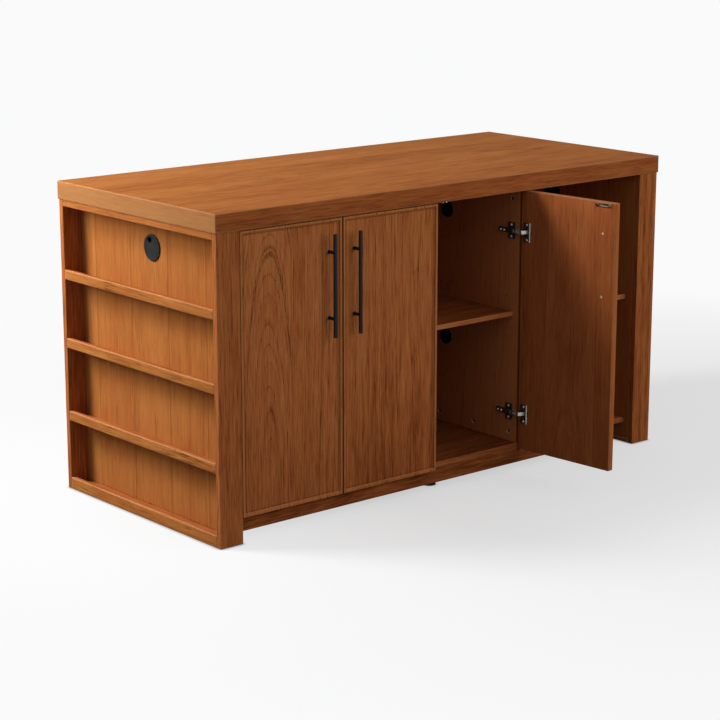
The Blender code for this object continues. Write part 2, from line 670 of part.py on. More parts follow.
def hinge_cup(name, place, hinge_side, axis):
    """A cup sunk in the door, its flange on the inner face, and the tongue that rises out of it."""
    inner_radius = CUP_RADIUS - CUP_WALL
    cup_floor = CUP_WALL - CUP_DEPTH
    rim = CUP_RADIUS + FLANGE_LIP
    profile = [
        (0.0, cup_floor), (inner_radius, cup_floor), (inner_radius, FLANGE_THICKNESS), (rim, FLANGE_THICKNESS),
        (rim, 0.0), (CUP_RADIUS, 0.0), (CUP_RADIUS, -CUP_DEPTH), (0.0, -CUP_DEPTH),
    ]
    turn = (-math.pi / 2, 0.0, 0.0)
    cup = add_solid(name, turned(profile, ROUND_SEGMENTS), "nickel", place, turn, axis)
    shade_round(cup)

    extras = bmesh.new()
    wing_start = (inner_radius + rim) / 2
    half_width, half_height = FLANGE_WIDTH / 2, FLANGE_HEIGHT / 2
    for low_z, high_z in ((wing_start, half_height), (-half_height, -wing_start)):
        add_box(extras, (-half_width, 0.0, low_z), (half_width, FLANGE_THICKNESS, high_z))
    root_y = cup_floor - CUP_WALL / 2
    tip_x, tip_y = hinge_side * TONGUE_SHIFT, TONGUE_LENGTH_OUT
    half = TONGUE_THICKNESS / 2
    outline = [(-half, root_y), (half, root_y), (tip_x + half, tip_y), (tip_x - half, tip_y)]
    tongue = mesh_from(f"{name}_tongue", extruded(outline, -TONGUE_HEIGHT / 2, TONGUE_HEIGHT / 2, 2))
    extras.from_mesh(tongue)
    combine(cup, add_cutter(f"{name}_flange", extras, place, parent=axis), "UNION")


def hinge_arm(name, wall_x, side, reach, cheek_reach, height):
    """A cross-shaped wall plate, the arm on it, and two cheeks that reach forward to the cup."""
    start, crank_end = ARM_SETBACK, ARM_SETBACK + CRANK_LENGTH
    crank_top = reach - CHEEK_CUP_CLEARANCE
    half_arm, half_plate = ARM_HEIGHT / 2, PLATE_HEIGHT / 2
    boxes = [
        ((FIT, start, -half_plate), (PLATE_THICKNESS, start + PLATE_LENGTH, half_plate)),
        ((FIT, start, -half_arm), (ARM_STANDOFF, start + ARM_LENGTH, half_arm)),
        ((FIT, start, -half_arm), (crank_top, crank_end, half_arm)),
    ]
    for low_z in (-half_arm, half_arm - CHEEK_THICKNESS):
        low = (crank_top - CHEEK_WIDTH, cheek_reach, low_z)
        boxes.append((low, (crank_top, crank_end, low_z + CHEEK_THICKNESS)))
    placed = [mirrored_box(side, low, high) for low, high in boxes]
    add_solid(name, stacked(placed), "nickel", (wall_x, CARCASS_FRONT_Y, height))


def catch(name, centre_x):
    """A magnetic catch on the underside of the worktop, just behind the closed door."""
    front_y = DOOR_INNER_Y + CATCH_DOOR_GAP
    low = (centre_x - CATCH_LENGTH / 2, front_y, BODY_TOP - CATCH_HEIGHT)
    board(name, low, (centre_x + CATCH_LENGTH / 2, front_y + CATCH_DEPTH, BODY_TOP), "nickel")


def doors():
    front_pivot = (FRONT_PIVOT_INSET, STILE_FRONT_Y + FRONT_PIVOT_INSET)
    rear_pivot = (REAR_PIVOT_INSET, DOOR_INNER_Y - REAR_PIVOT_DEPTH)
    half = DIVIDER_THICKNESS / 2
    left_xs = [FIRST_DOOR_X + DOOR_PITCH * index for index in range(3)]
    door("left_door", left_xs[0], -1, -END_INNER_X, front_pivot, 0.0, OUTER_CHEEK_REACH)
    door("middle_door", left_xs[1], 1, CENTRE_DIVIDER_X - half, front_pivot, 0.0, OUTER_CHEEK_REACH)
    door("right_door", left_xs[2], 1, RIGHT_DIVIDER_X - half, rear_pivot, DOOR_OPEN_ANGLE, INNER_CHEEK_REACH)


def main():
    clear_scene()
    worktop()
    end_bookcase("left", -1)
    end_bookcase("right", 1)
    divider("centre_divider", CENTRE_DIVIDER_X)
    divider("right_divider", RIGHT_DIVIDER_X)
    divider_grommets()
    floors()
    shelves()
    back_panels()
    plinth()
    feet()
    doors()


main()
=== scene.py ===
import json
import math
from functools import partial

import bmesh
import bpy
from mathutils import Matrix, Vector


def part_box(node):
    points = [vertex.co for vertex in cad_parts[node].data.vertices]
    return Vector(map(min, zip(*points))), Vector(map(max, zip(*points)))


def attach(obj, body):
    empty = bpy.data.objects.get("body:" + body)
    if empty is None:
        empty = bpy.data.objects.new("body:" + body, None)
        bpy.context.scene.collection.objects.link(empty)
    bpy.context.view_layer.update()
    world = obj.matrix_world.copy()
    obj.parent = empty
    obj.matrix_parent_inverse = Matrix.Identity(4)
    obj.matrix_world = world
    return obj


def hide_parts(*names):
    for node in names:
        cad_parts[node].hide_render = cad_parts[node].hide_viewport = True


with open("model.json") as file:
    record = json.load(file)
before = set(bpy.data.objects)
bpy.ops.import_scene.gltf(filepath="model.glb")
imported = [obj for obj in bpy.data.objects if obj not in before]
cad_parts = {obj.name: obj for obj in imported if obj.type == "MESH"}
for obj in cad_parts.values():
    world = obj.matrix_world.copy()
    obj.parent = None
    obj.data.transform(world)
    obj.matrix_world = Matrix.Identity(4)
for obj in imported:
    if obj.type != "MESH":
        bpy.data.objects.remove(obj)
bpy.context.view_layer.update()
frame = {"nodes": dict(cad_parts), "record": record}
print("frame loaded")


# Small helpers for working as by hand: choose pieces, shape them in edit mode, settle their place

def chooseOnly(*pieces):
    bpy.ops.object.select_all(action="DESELECT")
    for piece in pieces:
        piece.select_set(True)
    bpy.context.view_layer.objects.active = pieces[0]


def named(name):
    piece = bpy.context.object
    piece.name = name
    piece.data.name = name
    return piece


def settle(piece):
    chooseOnly(piece)
    bpy.ops.object.transform_apply(location=True, rotation=True, scale=True)
    return piece


def addBlock(name, corner, opposite):
    low = Vector([min(pair) for pair in zip(corner, opposite)])
    high = Vector([max(pair) for pair in zip(corner, opposite)])
    bpy.ops.mesh.primitive_cube_add(size=1.0, location=(low + high) / 2)
    piece = named(name)
    piece.scale = high - low
    return settle(piece)


def addRound(name, radius, length, centre, axis=(0, 0, 1), sides=40):
    turn = Vector((0, 0, 1)).rotation_difference(Vector(axis)).to_euler()
    bpy.ops.mesh.primitive_cylinder_add(
        vertices=sides, radius=radius, depth=length, location=centre, rotation=turn)
    return settle(named(name))


def openEdit(piece, kind, test):
    chooseOnly(piece)
    bpy.ops.object.mode_set(mode="EDIT")
    bpy.ops.mesh.select_mode(type=kind)
    bpy.ops.mesh.select_all(action="DESELECT")
    shape = bmesh.from_edit_mesh(piece.data)
    shape.normal_update()
    for item in list(shape.faces if kind == "FACE" else shape.edges):
        if test(item):
            item.select_set(True)
    bmesh.update_edit_mesh(piece.data)


def closeEdit():
    bpy.ops.object.mode_set(mode="OBJECT")


def softenEdges(piece, test, width, segments=3):
    openEdit(piece, "EDGE", test)
    bpy.ops.mesh.bevel(offset=width, segments=segments, affect="EDGES")
    closeEdit()


def insetFaces(piece, test, width, depth=0.0):
    openEdit(piece, "FACE", test)
    bpy.ops.mesh.inset(thickness=width, depth=depth)
    closeEdit()


def pushFaces(piece, test, move):
    openEdit(piece, "FACE", test)
    bpy.ops.mesh.extrude_region_move(TRANSFORM_OT_translate={"value": move})
    closeEdit()


def outward(piece):
    openEdit(piece, "FACE", lambda face: True)
    bpy.ops.mesh.remove_doubles(threshold=0.000001)
    bpy.ops.mesh.select_all(action="SELECT")
    bpy.ops.mesh.normals_make_consistent(inside=False)
    closeEdit()
    return piece


def combine(piece, other, operation):
    step = piece.modifiers.new("combine", "BOOLEAN")
    step.operation = operation
    step.solver = "EXACT"
    step.object = other
    chooseOnly(piece)
    bpy.ops.object.modifier_apply(modifier=step.name)
    bpy.data.objects.remove(other, do_unlink=True)
    return piece


weld = partial(combine, operation="UNION")
cutOut = partial(combine, operation="DIFFERENCE")


def easeAll(piece, width, segments=2, angle=50.0):
    step = piece.modifiers.new("ease", "BEVEL")
    step.width = width
    step.segments = segments
    step.limit_method = "ANGLE"
    step.angle_limit = math.radians(angle)
    chooseOnly(piece)
    bpy.ops.object.modifier_apply(modifier=step.name)
    return piece


def smoothOver(piece, angle=35.0):
    chooseOnly(piece)
    bpy.ops.object.shade_smooth_by_angle(angle=math.radians(angle))
    return piece


def joinAll(pieces, name):
    chooseOnly(*pieces)
    if len(pieces) > 1:
        bpy.ops.object.join()
    return named(name)


def moved(piece, place):
    piece.matrix_world = place
    return settle(piece)


def copyTo(source, name, place):
    chooseOnly(source)
    bpy.ops.object.duplicate(linked=False)
    return moved(named(name), place)


def setDown(piece, place):
    return smoothOver(outward(moved(piece, place)))


def finishPiece(piece, body, coat, stands=()):
    piece.data.materials.clear()
    piece.data.materials.append(coats[coat])
    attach(piece, body)
    if stands:
        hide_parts(*stands)
    return piece


# Camera, at the photograph's angle

cameraSetup = {
    "place": (-4.0150, -4.7101, 1.8134),
    "yaw": 40.170,  # degrees from +Y towards +X
    "pitch": 13.527,  # degrees below level
    "lens": 104.552,
    "sensor": 36.0,
}


def setCamera(setup):
    turn = (math.radians(90.0 - setup["pitch"]), 0.0, -math.radians(setup["yaw"]))
    bpy.ops.object.camera_add(location=setup["place"], rotation=turn)
    camera = bpy.context.object
    camera.name = "studio_camera"
    camera.data.lens = setup["lens"]
    camera.data.sensor_width = setup["sensor"]
    camera.data.clip_end = 300.0
    bpy.context.scene.camera = camera


setCamera(cameraSetup)
bpy.context.scene.view_settings.view_transform = "Standard"
print("camera set")


# Node helpers

def newFinish(name):
    finish = bpy.data.materials.new(name)
    finish.use_nodes = True
    return finish, finish.node_tree, finish.node_tree.nodes["Principled BSDF"]


def feed(tree, node, feeds):
    for socket, source in feeds.items():
        if isinstance(source, bpy.types.NodeSocket):
            tree.links.new(source, node.inputs[socket])
        else:
            node.inputs[socket].default_value = source
    return node


def addNode(tree, kind, feeds=None, **settings):
    node = tree.nodes.new(kind)
    for key, value in settings.items():
        setattr(node, key, value)
    return feed(tree, node, feeds or {})


def maths(tree, operation, *values, clamp=False):
    feeds = dict(enumerate(values))
    return addNode(tree, "ShaderNodeMath", feeds, operation=operation, use_clamp=clamp).outputs[0]


def spread(tree, value, low, high, toLow, toHigh):
    feeds = {"Value": value, "From Min": low, "From Max": high, "To Min": toLow, "To Max": toHigh}
    return addNode(tree, "ShaderNodeMapRange", feeds).outputs["Result"]


def cloud(tree, vector, scale, detail=2.0, roughness=0.5, output=0):
    stretched = addNode(tree, "ShaderNodeMapping", {"Vector": vector, "Scale": scale}).outputs["Vector"]
    feeds = {"Vector": stretched, "Scale": 1.0, "Detail": detail, "Roughness": roughness}
    return addNode(tree, "ShaderNodeTexNoise", feeds).outputs[output]


def vectorMaths(tree, operation, *values, output=0, **extra):
    feeds = {**dict(enumerate(values)), **extra}
    return addNode(tree, "ShaderNodeVectorMath", feeds, operation=operation).outputs[output]


def splitUp(tree, vector):
    return addNode(tree, "ShaderNodeSeparateXYZ", {0: vector}).outputs


def centred(tree, value):
    return maths(tree, "SUBTRACT", value, 0.5)


def addUp(tree, total, terms):
    for value, share in terms:
        total = maths(tree, "MULTIPLY_ADD", value, share, total)
    return total


def mixColour(tree, factor, first, second):
    return addNode(tree, "ShaderNodeMix", {0: factor, 6: first, 7: second}, data_type="RGBA").outputs[2]


# Painted highlight: arrises are mixed toward a pale colour to stand in for light caught on their rounded
# edges; the bevel normal also rounds their shading
def paintEdgeHighlight(tree, colour, paleLightColour, reach, share):
    eased = addNode(tree, "ShaderNodeBevel", {"Radius": reach}, samples=4).outputs[0]
    normal = addNode(tree, "ShaderNodeNewGeometry").outputs["Normal"]
    turned = vectorMaths(tree, "DOT_PRODUCT", eased, normal, output=1)
    edge = spread(tree, turned, 0.80, 0.985, share, 0.0)
    return mixColour(tree, edge, colour, paleLightColour), eased


def seenDirectly(tree):
    path = addNode(tree, "ShaderNodeLightPath").outputs
    mirrored = maths(tree, "ADD", path["Is Glossy Ray"], path["Is Transmission Ray"])
    return maths(tree, "ADD", path["Is Camera Ray"], mirrored, clamp=True)


# Floor, sky and lamps

floorSetup = {
    "size": 240.0,
    "drop": 0.0003,  # keeps the floor just under the feet
    "paper": (0.80, 0.80, 0.80, 1.0),
    "bounce": (0.17, 0.166, 0.162, 1.0),  # what the floor sends back to the island
    "white": (0.955, 0.955, 0.958, 1.0),
    "nearShare": 0.60,  # share of plain white near the island, the rest takes light and shadow
    "shadeCentre": (0.8, -0.5, 0.0),  # the shadow falls on this side
    "nearRadius": 1.0,
    "farRadius": 2.5,
    "contactReach": 0.014,  # the white dims where the island stands close over it
    "contactShade": 0.22,
}
skySetup = {"ambient": 0.34, "white": (0.955, 0.955, 0.958, 1.0)}
lampSetup = {
    "side": {"place": (-1.9, 1.0, 1.35), "aim": (-0.79, 0.0, 0.60), "size": 0.8, "power": 26.0},
    "key": {"place": (-2.8, 1.7, 3.60), "aim": (-0.1, -0.1, 0.75), "size": 1.2, "power": 140.0},
    "fill": {"place": (1.0, -3.2, 1.80), "aim": (0.1, -0.38, 0.65), "size": 2.4, "power": 40.0},
}


def layFloor(setup):
    bpy.ops.mesh.primitive_plane_add(size=setup["size"], location=(0.0, 0.0, -setup["drop"]))
    floor = settle(named("studio_floor"))
    finish, tree, shader = newFinish("studio_paper")
    tree.nodes.remove(shader)
    paper = addNode(tree, "ShaderNodeBsdfDiffuse", {"Color": setup["paper"]})
    closeness = addNode(tree, "ShaderNodeAmbientOcclusion", {"Distance": setup["contactReach"]}, samples=8)
    level = spread(tree, closeness.outputs["AO"], 0.35, 1.0, setup["contactShade"], 1.0)
    glow = addNode(tree, "ShaderNodeEmission", {"Color": setup["white"], "Strength": level})
    where = addNode(tree, "ShaderNodeTexCoord").outputs["Object"]
    feeds = {0: where, 1: setup["shadeCentre"]}
    away = addNode(tree, "ShaderNodeVectorMath", feeds, operation="DISTANCE").outputs["Value"]
    share = spread(tree, away, setup["nearRadius"], setup["farRadius"], setup["nearShare"], 1.0)
    seen = addNode(tree, "ShaderNodeMixShader", {0: share, 1: paper.outputs[0], 2: glow.outputs[0]})
    bounce = addNode(tree, "ShaderNodeBsdfDiffuse", {"Color": setup["bounce"]})
    feeds = {0: seenDirectly(tree), 1: bounce.outputs[0], 2: seen.outputs[0]}
    blend = addNode(tree, "ShaderNodeMixShader", feeds)
    tree.links.new(blend.outputs[0], tree.nodes["Material Output"].inputs["Surface"])
    floor.data.materials.append(finish)


def lightSky(setup):
    sky = bpy.data.worlds.new("studio_sky")
    sky.use_nodes = True
    bpy.context.scene.world = sky
    tree = sky.node_tree
    plain = tree.nodes["Background"]
    plain.inputs["Color"].default_value = (1.0, 1.0, 1.0, 1.0)
    plain.inputs["Strength"].default_value = setup["ambient"]
    white = addNode(tree, "ShaderNodeBackground", {"Color": setup["white"], "Strength": 1.0})
    feeds = {0: seenDirectly(tree), 1: plain.outputs[0], 2: white.outputs[0]}
    blend = addNode(tree, "ShaderNodeMixShader", feeds)
    tree.links.new(blend.outputs[0], tree.nodes["World Output"].inputs["Surface"])


def hangLamp(name, setup):
    place = Vector(setup["place"])
    turn = (Vector(setup["aim"]) - place).to_track_quat("-Z", "Y").to_euler()
    bpy.ops.object.light_add(type="AREA", location=place, rotation=turn)
    lamp = bpy.context.object
    lamp.name = f"{name}_lamp"
    lamp.data.energy = setup["power"]
    lamp.data.size = setup["size"]


layFloor(floorSetup)
lightSky(skySetup)
for lampName, lampPlan in lampSetup.items():
    hangLamp(lampName, lampPlan)
print("floor and lamps ready")


# Oak veneer. Each board's plan takes the place of these settings where it has its own

oakSetup = {
    "dark": (0.135, 0.037, 0.0095, 1.0), "brown": (0.312, 0.085, 0.0235, 1.0),
    "amber": (0.405, 0.126, 0.0365, 1.0), "honey": (0.495, 0.171, 0.0540, 1.0),
    # the pale colour painted on arrises as a highlight and on a cabinet's inner faces as light
    "paleLightColour": (0.680, 0.330, 0.1550, 1.0),
    "endTan": (0.345, 0.156, 0.0690, 1.0), "endShare": 0.65,  # the cut ends are paler
    "specular": 0.002, "rough": (0.58, 0.46), "poreDepth": 0.00035, "poreStrength": 0.4,
    "square": 0.8,  # how straight a face points along one of the board's directions
    # noise scales across, through and along the grain
    "drift": (8.0, 8.0, 2.2), "fleck": (280.0, 280.0, 15.0), "streak": (160.0, 160.0, 4.2),
    "band": (14.0, 14.0, 1.6), "blotch": (30.0, 30.0, 7.0),
    "wander": 0.014,  # metres that the grain drifts sideways
    # width of a veneer leaf, and metres between a leaf and the next one in the flitch
    "leaf": 0.16, "leafJump": (0.131, 0.0, 0.733), "seamGap": 0.0011,
    # the rings' centre line, to the side and below the face, and their lines
    "heart": 0.0, "depth": 0.10, "slope": 0.06, "phase": 0.0, "pitch": 0.0095, "ringWidth": 0.22,
    "ringFray": 0.0040,  # metres that the flecks tear the ring lines
    # the middle tone and what varies it, with painted light and shade on a board's long edges and on its face
    # into a cabinet
    "middle": 0.53, "contrast": 1.0, "streakShare": 0.72, "fleckShare": 1.00, "ringShare": 0.32,
    "bandShare": 0.42, "blotchShare": 0.26, "leafShare": 0.14, "tone": 0.0, "edgeLightShade": 0.0,
    "innerLight": 0.0, "hue": 0.0, "hueDrift": 0.002,
    # how dark the stain is in each kind of grain mark, and how dark the painted shade is at a lip's foot and
    # beside a door's gap
    "ring": 1.0, "tornRing": 0.75, "plainRing": 0.25, "fleckStain": 0.14, "seamStain": 0.45,
    "footShade": 0.60, "gapShade": 0.85, "stainAndShadeLimit": 0.95,
    "footShadeReach": 0.0050, "lipStart": 0.0003, "footEnd": 0.0005,  # painted shade at the foot of a door's lip
    "rim": 0.0024,  # painted shade: dark line on a door beside a gap
    "reach": 0.0032, "edgeHighlight": 0.55,  # painted highlight: how far and how much an arris is made pale
}


def boardFrame(grain, face):
    along = Vector(grain).normalized()
    thick = Vector(face).normalized()
    return Matrix((thick.cross(along), thick, along))


def oakFinish(name, centre, size, plan):
    look = {**oakSetup, **plan}
    finish, tree, shader = newFinish(f"oak_{name}")
    calc = partial(maths, tree)
    turn = boardFrame(look["grain"], look["face"])
    source = addNode(tree, "ShaderNodeTexCoord").outputs
    feeds = {"Vector": source["Object"], "Location": -(turn @ centre), "Rotation": turn.to_euler()}
    onBoard = addNode(tree, "ShaderNodeMapping", feeds).outputs["Vector"]
    spot = splitUp(tree, onBoard)

    # on a face that cuts the grain, the veneer runs across the board
    feeds = {"Vector": source["Normal"], "Rotation": turn.to_euler()}
    sides = splitUp(tree, addNode(tree, "ShaderNodeMapping", feeds).outputs["Vector"])
    cut, longEdge = (calc("GREATER_THAN", calc("ABSOLUTE", sides[axis]), look["square"]) for axis in "ZX")
    inner = calc("GREATER_THAN", sides["Y"], look["square"])
    uncut = calc("SUBTRACT", 1.0, cut)
    swapped = addNode(tree, "ShaderNodeCombineXYZ", {0: spot["Y"], 1: spot["Z"], 2: spot["X"]})
    feeds = {0: cut, 4: onBoard, 5: swapped.outputs[0]}
    straight = addNode(tree, "ShaderNodeMix", feeds, data_type="VECTOR").outputs[1]
    local = vectorMaths(tree, "ADD", straight, (-look["heart"], look["depth"], -look["phase"]))

    # veneer leaves: each takes another part of the flitch
    leafPlace = calc("MULTIPLY_ADD", splitUp(tree, local)["X"], 1.0 / look["leaf"], 0.5)
    leaf = calc("FLOOR", leafPlace)
    local = vectorMaths(tree, "ADD", local, vectorMaths(tree, "SCALE", look["leafJump"], Scale=leaf))
    leafTone = addNode(tree, "ShaderNodeTexWhiteNoise", {"W": leaf}, noise_dimensions="1D").outputs["Value"]
    fromSeam = calc("PINGPONG", calc("FRACT", leafPlace), 0.5)
    seam = spread(tree, fromSeam, 0.0, look["seamGap"] / look["leaf"], 1.0, 0.0)

    # slow drift, then rings round a tilted heart
    drift = cloud(tree, local, look["drift"], output="Color")
    grainPlace = vectorMaths(tree, "MULTIPLY_ADD", drift, (look["wander"],) * 3, local)
    fleck = cloud(tree, grainPlace, look["fleck"], 4.0, 0.6)
    streak = cloud(tree, grainPlace, look["streak"], 4.0, 0.62)
    band = cloud(tree, grainPlace, look["band"])
    blotch = cloud(tree, local, look["blotch"], 3.0)
    parts = splitUp(tree, grainPlace)
    deep = calc("MULTIPLY_ADD", parts["Z"], look["slope"], parts["Y"])
    flat = addNode(tree, "ShaderNodeCombineXYZ", {0: parts["X"], 1: deep}).outputs[0]
    radius = vectorMaths(tree, "LENGTH", flat, output=1)
    radius = calc("MULTIPLY_ADD", centred(tree, fleck), look["ringFray"], radius)
    feeds = {"W": radius, "Scale": 0.7 / look["pitch"], "Detail": 2.0}
    ringTone = addNode(tree, "ShaderNodeTexNoise", feeds, noise_dimensions="1D").outputs[0]
    ringTurn = calc("MULTIPLY_ADD", radius, 1.0 / look["pitch"], calc("MULTIPLY", ringTone, 2.0))
    ringLine = spread(tree, calc("FRACT", ringTurn), 0.0, look["ringWidth"], 1.0, 0.0)
    ringLine = calc("MULTIPLY", ringLine, uncut)
    fleckMark = spread(tree, fleck, 0.38, 0.50, 1.0, 0.0)

    contrast = look["contrast"]
    tone = addUp(tree, look["middle"] + look["tone"], (
        (centred(tree, streak), look["streakShare"] * contrast),
        (centred(tree, fleck), look["fleckShare"] * contrast),
        (calc("MULTIPLY", centred(tree, ringTone), uncut), look["ringShare"] * contrast),
        (centred(tree, band), look["bandShare"] * contrast),
        (centred(tree, blotch), look["blotchShare"]),
        (centred(tree, leafTone), look["leafShare"]),
        (longEdge, look["edgeLightShade"]),
        (inner, look["innerLight"]),
    ))
    # grain marks, with painted shade added at a lip's foot and beside a door's gap
    marksAndShade = addUp(tree, 0.0, (
        (calc("MULTIPLY", ringLine, fleckMark), look["tornRing"] * contrast),
        (ringLine, look["plainRing"] * contrast * look["ring"]),
        (fleckMark, look["fleckStain"] * contrast),
        (seam, look["seamStain"]),
    ))

    if "lip" in plan:  # painted highlight: the lip round a door's sunk panel is made paler, and painted shade makes a dark line at its foot
        sideways = calc("SUBTRACT", calc("ABSOLUTE", spot["X"]), size.x / 2 - look["lip"])
        upwards = calc("SUBTRACT", calc("ABSOLUTE", spot["Z"]), size.z / 2 - look["lip"])
        past = calc("MAXIMUM", sideways, upwards)
        inFront = calc("GREATER_THAN", spot["Y"], 0.0)
        onLip = calc("MULTIPLY", calc("GREATER_THAN", past, look["lipStart"]), inFront)
        foot = spread(tree, past, -look["footShadeReach"], -look["footEnd"], 0.0, 1.0)
        foot = calc("MULTIPLY", calc("MULTIPLY", foot, inFront), calc("SUBTRACT", 1.0, onLip))
        tone = calc("MULTIPLY_ADD", onLip, look["lipHighlight"], tone)
        marksAndShade = calc("MULTIPLY_ADD", foot, look["footShade"], marksAndShade)
    if "gapSide" in plan:  # painted shade: a dark rim beside the next door and under the worktop, and the door made darker towards its bottom
        toGap = calc("MULTIPLY_ADD", spot["X"], look["gapSide"], -size.x / 2)
        toTop = calc("SUBTRACT", spot["Z"], size.z / 2)
        rim = spread(tree, calc("MAXIMUM", toGap, toTop), -look["rim"], -look["rim"] / 2, 0.0, 1.0)
        marksAndShade = calc("MULTIPLY_ADD", calc("MULTIPLY", rim, inFront), look["gapShade"], marksAndShade)
        tone = calc("ADD", tone, spread(tree, spot["Z"], -size.z / 2, 0.0, -look["lowerShade"], 0.0))

    ramp = addNode(tree, "ShaderNodeValToRGB", {0: tone})
    stops = ramp.color_ramp.elements
    stops[0].position, stops[0].color = 0.12, look["dark"]
    stops[1].position, stops[1].color = 0.90, look["honey"]
    for place, key in ((0.40, "brown"), (0.62, "amber")):
        stops.new(place).color = look[key]
    marksAndShade = calc("MINIMUM", marksAndShade, look["stainAndShadeLimit"])
    colour = mixColour(tree, calc("MULTIPLY", cut, look["endShare"]), ramp.outputs[0], look["endTan"])
    colour = mixColour(tree, marksAndShade, colour, look["dark"])
    hue = spread(tree, blotch, 0.3, 0.7, 0.5 - look["hueDrift"], 0.5 + look["hueDrift"])
    hue = calc("MULTIPLY_ADD", calc("SUBTRACT", 1.0, longEdge), look["hue"], hue)
    colour = addNode(tree, "ShaderNodeHueSaturation", {"Hue": hue, "Color": colour}).outputs[0]
    if "innerPaleLight" in plan:  # painted light: the side that faces into a cabinet is mixed toward the pale colour
        colour = mixColour(tree, calc("MULTIPLY", inner, look["innerPaleLight"]), colour, look["paleLightColour"])
    colour, eased = paintEdgeHighlight(tree, colour, look["paleLightColour"], look["reach"], look["edgeHighlight"])
    feeds = {"Height": calc("MULTIPLY_ADD", marksAndShade, -1.0, streak), "Strength": look["poreStrength"],
             "Distance": look["poreDepth"], "Normal": eased}
    bump = addNode(tree, "ShaderNodeBump", feeds).outputs[0]
    rough = spread(tree, streak, 0.25, 0.75, *look["rough"])
    feed(tree, shader, {"Base Color": colour, "Roughness": rough, "Specular IOR Level": look["specular"],
                        "Normal": bump})
    return finish


doorTurn = math.radians(-frame["record"]["behaviour"]["joints"][2]["range_deg"][0])
openFace = (math.sin(doorTurn), -math.cos(doorTurn), 0.0)  # the open door's front
upright = {"grain": (0, 0, 1), "face": (0, -1, 0)}
endways = {"grain": (0, 0, 1), "face": (-1, 0, 0)}
lengthways = {"grain": (1, 0, 0), "face": (0, 0, 1)}
crossways = {"grain": (0, 1, 0), "face": (-1, 0, 0)}
# painted shade: a divider's front edge is made darker; painted light: its face into a cabinet is made lighter
# and paler
dividerPlan = {**endways, "innerLight": 0.50, "innerPaleLight": 0.06, "edgeLightShade": -0.9, "contrast": 0.6, "edgeHighlight": 0.0,
               "hue": -0.002, "depth": 0.3, "leaf": 0.2}
layerPlan = {**lengthways, "contrast": 0.6, "depth": 0.4, "edgeHighlight": 0.75}
# painted shade and light: shelf tops are made darker and their front edges lighter
shelfPlan = {**layerPlan, "tone": -0.20, "edgeLightShade": 0.55}
# painted light: a back's face into a cabinet is made lighter and paler
backPlan = {**upright, "innerLight": 0.50, "innerPaleLight": 0.34, "depth": 0.25}
# painted shade: the plinth in the shade under the doors is made darker
plinthPlan = {"grain": (1, 0, 0), "depth": 0.2, "tone": -0.24}
stilePlan = {**upright, "heart": 0.2, "depth": 0.2, "slope": 0.012, "leaf": 0.9, "contrast": 0.95}
ledgePlan = {**crossways, "leaf": 0.9, "depth": 0.10, "slope": 0.03, "pitch": 0.007, "contrast": 0.85,
             "edgeHighlight": 0.95, "reach": 0.0075, "hue": 0.009}
# painted light: the end back panels are made lighter to stand in for more light in the niches
panelPlan = {**endways, "leaf": 0.178, "heart": 0.019, "contrast": 0.40, "depth": 0.4, "slope": 0.015,
             "tone": 0.09, "hue": 0.0070, "seamGap": 0.0040}
topPlan = {**crossways, "contrast": 0.6, "depth": 0.2, "hue": 0.006}
oakBoards = {
    "worktop": {**lengthways, "leaf": 0.127, "contrast": 0.65, "depth": 0.45, "slope": 0.02, "edgeHighlight": 0.85,
                "reach": 0.0060, "hue": 0.0075},
    "left_door": {**upright, "heart": 0.085, "depth": 0.055, "slope": 0.13, "leaf": 0.17, "ring": 1.9,
                  "phase": 0.2, "tone": 0.20, "hue": -0.001, "lowerShade": 0.18, "gapSide": -1.0, "edgeHighlight": 0.35,
                  "pitch": 0.0085, "lip": 0.011, "lipHighlight": 0.38},
    "middle_door": {**upright, "heart": -0.085, "depth": 0.11, "slope": 0.05, "leaf": 0.14, "phase": 3.4,
                    "tone": 0.14, "lowerShade": 0.30, "gapSide": 1.0, "edgeHighlight": 0.35, "pitch": 0.012, "lip": 0.011,
                    "lipHighlight": 0.26},
    "right_door": {"grain": (0, 0, 1), "face": openFace, "heart": 0.02, "depth": 0.3, "slope": 0.02,
                   "leaf": 0.19, "phase": 5.1, "contrast": 0.50, "tone": 0.04, "hue": -0.002, "lip": 0.011,
                   "lipHighlight": 0.10},
    "centre_divider": {**dividerPlan, "phase": 8.0},
    "right_divider": {**dividerPlan, "phase": 9.3},
    # painted shade and light: the cabinet floor's top is made darker and its front edge lighter
    "cabinet_floor": {**layerPlan, "phase": 1.1, "edgeHighlight": 0.5, "tone": -0.28, "edgeLightShade": 0.30},
    "bay_floor": {**layerPlan, "phase": 2.7},
    "double_cabinet_shelf": {**shelfPlan, "phase": 3.9},
    "single_cabinet_shelf": {**shelfPlan, "phase": 4.6},
    "bay_shelf": {**shelfPlan, "phase": 5.5},
    "double_cabinet_back": {**backPlan, "phase": 6.1},
    "single_cabinet_back": {**backPlan, "phase": 7.4},
    "bay_back": {**backPlan, "phase": 8.8},
    "front_plinth": {**plinthPlan, "face": (0, -1, 0), "phase": 1.7},
    "rear_plinth": {**plinthPlan, "face": (0, 1, 0), "phase": 2.9},
    "plinth_return": {**plinthPlan, "grain": (0, 1, 0), "face": (1, 0, 0), "phase": 3.3},
}
